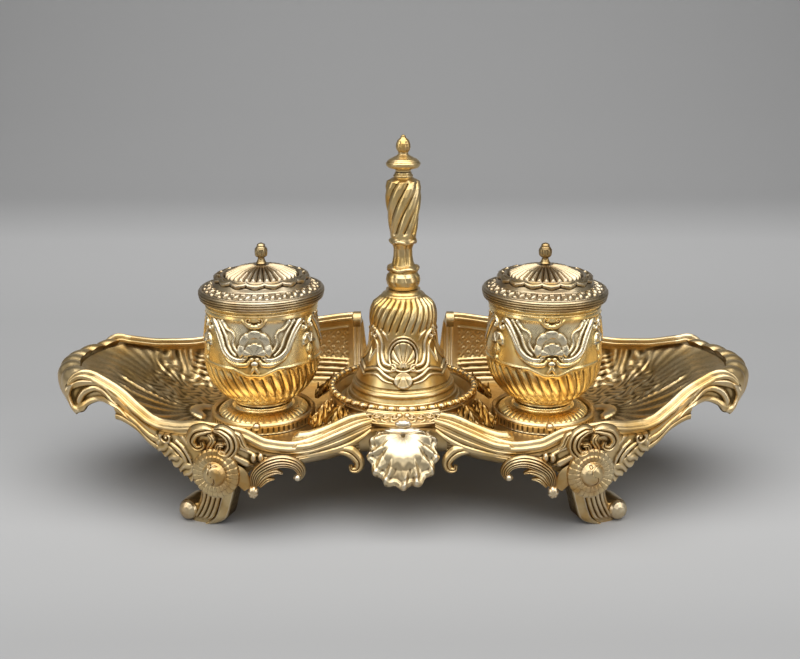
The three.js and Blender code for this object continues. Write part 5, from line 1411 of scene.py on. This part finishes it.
# Three fields round the waist: each has a shell medallion in an arch of C-scrolls over a round drop
field = from_middle(from_middle(around + np.pi / 2, 1), field_count)
u, v = field * waist_radius + 0 * h, h + 0 * around
mirror = np.abs(u)
turn, reach = np.arctan2(u, v - 21.4), np.hypot(u, v - 26.5)
lobes = np.abs(np.cos(turn * 7.5)) ** 0.6
medallion = step(6.3 + 0.4 * lobes, 5.6, reach) * step(2.6, 2.3, np.abs(turn))
medallion = medallion * (0.4 + 0.8 * lobes * step(21.6, 23.6, v) + 0.6 * bead(np.hypot(u, v - 22), 1.6))
outer_arch = 0.7 * bead(reach - 8.8, 0.4) * step(1.1, 0.8, np.abs(turn))
chased = highest(medallion, 1.1 * bead(reach - 7.2, 0.6), outer_arch)
for line, widths, rise in (
    ([[6.2, 21.6], [9.4, 22.6], [11.8, 26.4], [12.4, 31.4], [14.6, 35.2], [18, 37.4], [19.4, 36.4]],
     [1, 1.3, 1.2, 1.1, 1.2, 1], 1.6),
    ([[3.4, 19.6], [7.4, 19.2], [11.6, 21.2], [14.4, 25.4], [16, 30.2], [19.2, 32.6]],
     [0.7, 1.1, 1.2, 1, 0.6], 1.3),
    ([[8.8, 33.2], [10.4, 35.8], [13.6, 37.8]], [0.5, 0.9, 0.5], 1.1),
    ([[17, 27.6], [18.2, 24.6], [19.3, 21.4]], [0.4, 0.9, 0.4], 1),
    ([[0, 16.4], [3.6, 15.6], [8, 17.4], [12, 19.6], [16, 18.8], [19.4, 17.2]],
     [0.9, 1, 1, 1, 0.9], 1.3),
    ([[4.4, 14], [8, 14.8], [12, 16.9], [16, 16.4], [19.4, 15]], [0.6, 0.8, 0.8, 0.7], 1),
):
    widths = [0.78 * width for width in widths]
    chased = highest(chased, stroke(mirror, v, line, widths, 0.9 * rise, 0, 4))
turn, reach = np.arctan2(u, 19.2 - v), np.hypot(u, v - 15.4)
drop = step(4, 3.4, reach) * (0.8 + 0.5 * np.abs(np.cos(turn * 5)) ** 0.6 * step(17.4, 15.6, v))
chased = highest(
    chased, 1.2 * drop, 1.3 * bead(np.hypot(field_half_width - mirror, v - 38), 1.5),
    curl(mirror, v, (4.6, 20.4), 1.9, 1.0, 1, 1.5, 1.2, 0.28),
    curl(mirror, v, (17.4, 34.6), 2.2, 1.1, -1, 1.4, 1.6, 0.26))
fade = between(h, 10.6, 12, 39.5, 40.5)
bell_heights = bell_heights + 0.8 * chased * fade
bell_heights = bell_heights * step(0, 0.8, h) * step(bell_height, bell_height - 0.4, h)
part = turned(bell_outer, bell_inner, bell_heights, bell_count, (0, 0, bell_base), 0.7, 6)
made = piece("chased_bell", [part], bell_gilt, "bell", "bell_gilding", "bell_dome")
waist_rubbed = 0.25 * step(0.3, 0.9, chased) * fade
painted(made, "rubbed", np.pad(waist_rubbed, ((0, 0), (0, len(bell_inner)))))

handle_base = bell_base + bell_height + seat_gap
handle_length, handle_radius, finial_radius, finial_height, handle_count = 58, 9, 8.5, 18.2, 240
handle_line = outline(np.array([
    [0.0, 0], [0.8, 0], [0.82, 0.015], [0.9, 0.035], [0.96, 0.07], [0.92, 0.11], [0.78, 0.14],
    [0.84, 0.16], [0.86, 0.18], [0.64, 0.2], [0.54, 0.28], [0.53, 0.345], [0.62, 0.385],
    [0.74, 0.41], [0.7, 0.44], [0.74, 0.47], [0.83, 0.57], [0.94, 0.7], [1, 0.8], [0.99, 0.87],
    [0.9, 0.925], [0.64, 0.945], [0.52, 0.955], [0.55, 0.97], [0.46, 0.99], [0.46, 1], [0.0, 1],
]) * (handle_radius, handle_length), 320, False)
r, h = handle_line.T
s = h / handle_length
around = full_turn(handle_count)[:, None]
grip = np.abs(np.sin((around - 4.06 * (s - 0.45)) * 4)) ** 0.75
waist = np.abs(np.sin(around * 2.5)) ** 0.35
leaf_waves = np.cos(5 * around)
leaves = bead(s - 0.175 - 0.012 * leaf_waves, 0.016) + bead(s - 0.405 + 0.01 * leaf_waves, 0.012)
bulb = np.abs(np.cos(around * 4 + 9 * s)) ** 0.5
handle_heights = 1.5 * (grip - 1) * between(s, 0.455, 0.49, 0.915, 0.945)
handle_heights = handle_heights + 0.8 * (waist - 1) * between(s, 0.2, 0.24, 0.36, 0.4)
handle_heights = handle_heights + 0.6 * leaves
handle_heights = handle_heights + 0.55 * (bulb - 1) * between(s, 0.02, 0.05, 0.115, 0.14)
handle_heights = np.where(r > 3, handle_heights, 0) * step(0, 0.01, s) * step(1, 0.985, s)
handle_heights = np.minimum(handle_heights, handle_radius - r)
centre = (0, 0, handle_base)
parts = [turned(handle_line, [], handle_heights, handle_count, centre, 0.6, 4),
         stud(1.6, 8.6, 30, centre)]
piece("cast_handle", parts, bell_gilt, "bell", "bell_gilding", "bell_handle")

finial_line = outline(np.array([
    [0.0, 0], [0.44, 0], [0.47, 0.05], [0.6, 0.07], [0.86, 0.1], [0.98, 0.16], [1, 0.22],
    [0.96, 0.28], [0.86, 0.31], [0.66, 0.36], [0.4, 0.43], [0.29, 0.47], [0.3, 0.52], [0.4, 0.58],
    [0.44, 0.66], [0.42, 0.76], [0.34, 0.84], [0.2, 0.9], [0.14, 0.92], [0.15, 0.96], [0.0, 1],
]) * (finial_radius, finial_height), 160, False)
r, h = finial_line.T
s = h / finial_height
bud = np.abs(np.cos((around * 3) + 2 * s)) ** 0.6
finial_heights = 0.35 * (bud - 1) * step(0.47, 0.54, s) * step(0.86, 0.78, s)
finial_heights = finial_heights - 0.3 * bead(s - 0.27, 0.025) + 0.15 * bead(s - 0.34, 0.02)
finial_heights = np.where(r > 1.2, finial_heights, 0)
centre = (0, 0, handle_base + handle_length + seat_gap)
part = turned(finial_line, [], finial_heights, handle_count, centre, 0.4, 4)
piece("bud_finial", [part], bell_gilt, "bell", "bell_gilding", "bell_finial")


# Fixings: the nuts under the lids and the bell's clapper with its hanger and pin, turned and filed from
# plain silver. Their shapes are the solids' own, and they only take their metal here.
fixing_silver = gilt_silver(
    "turned_silver_fixing", "b4aea2", "948d80", "d6d1c6", "3a362f", wear=0.5, roughness=0.34)
for name in ("lid_nut_left", "lid_nut_right", "clapper_hanger", "clapper_pin", "clapper"):
    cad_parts[name].data.materials.clear()
    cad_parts[name].data.materials.append(fixing_silver)
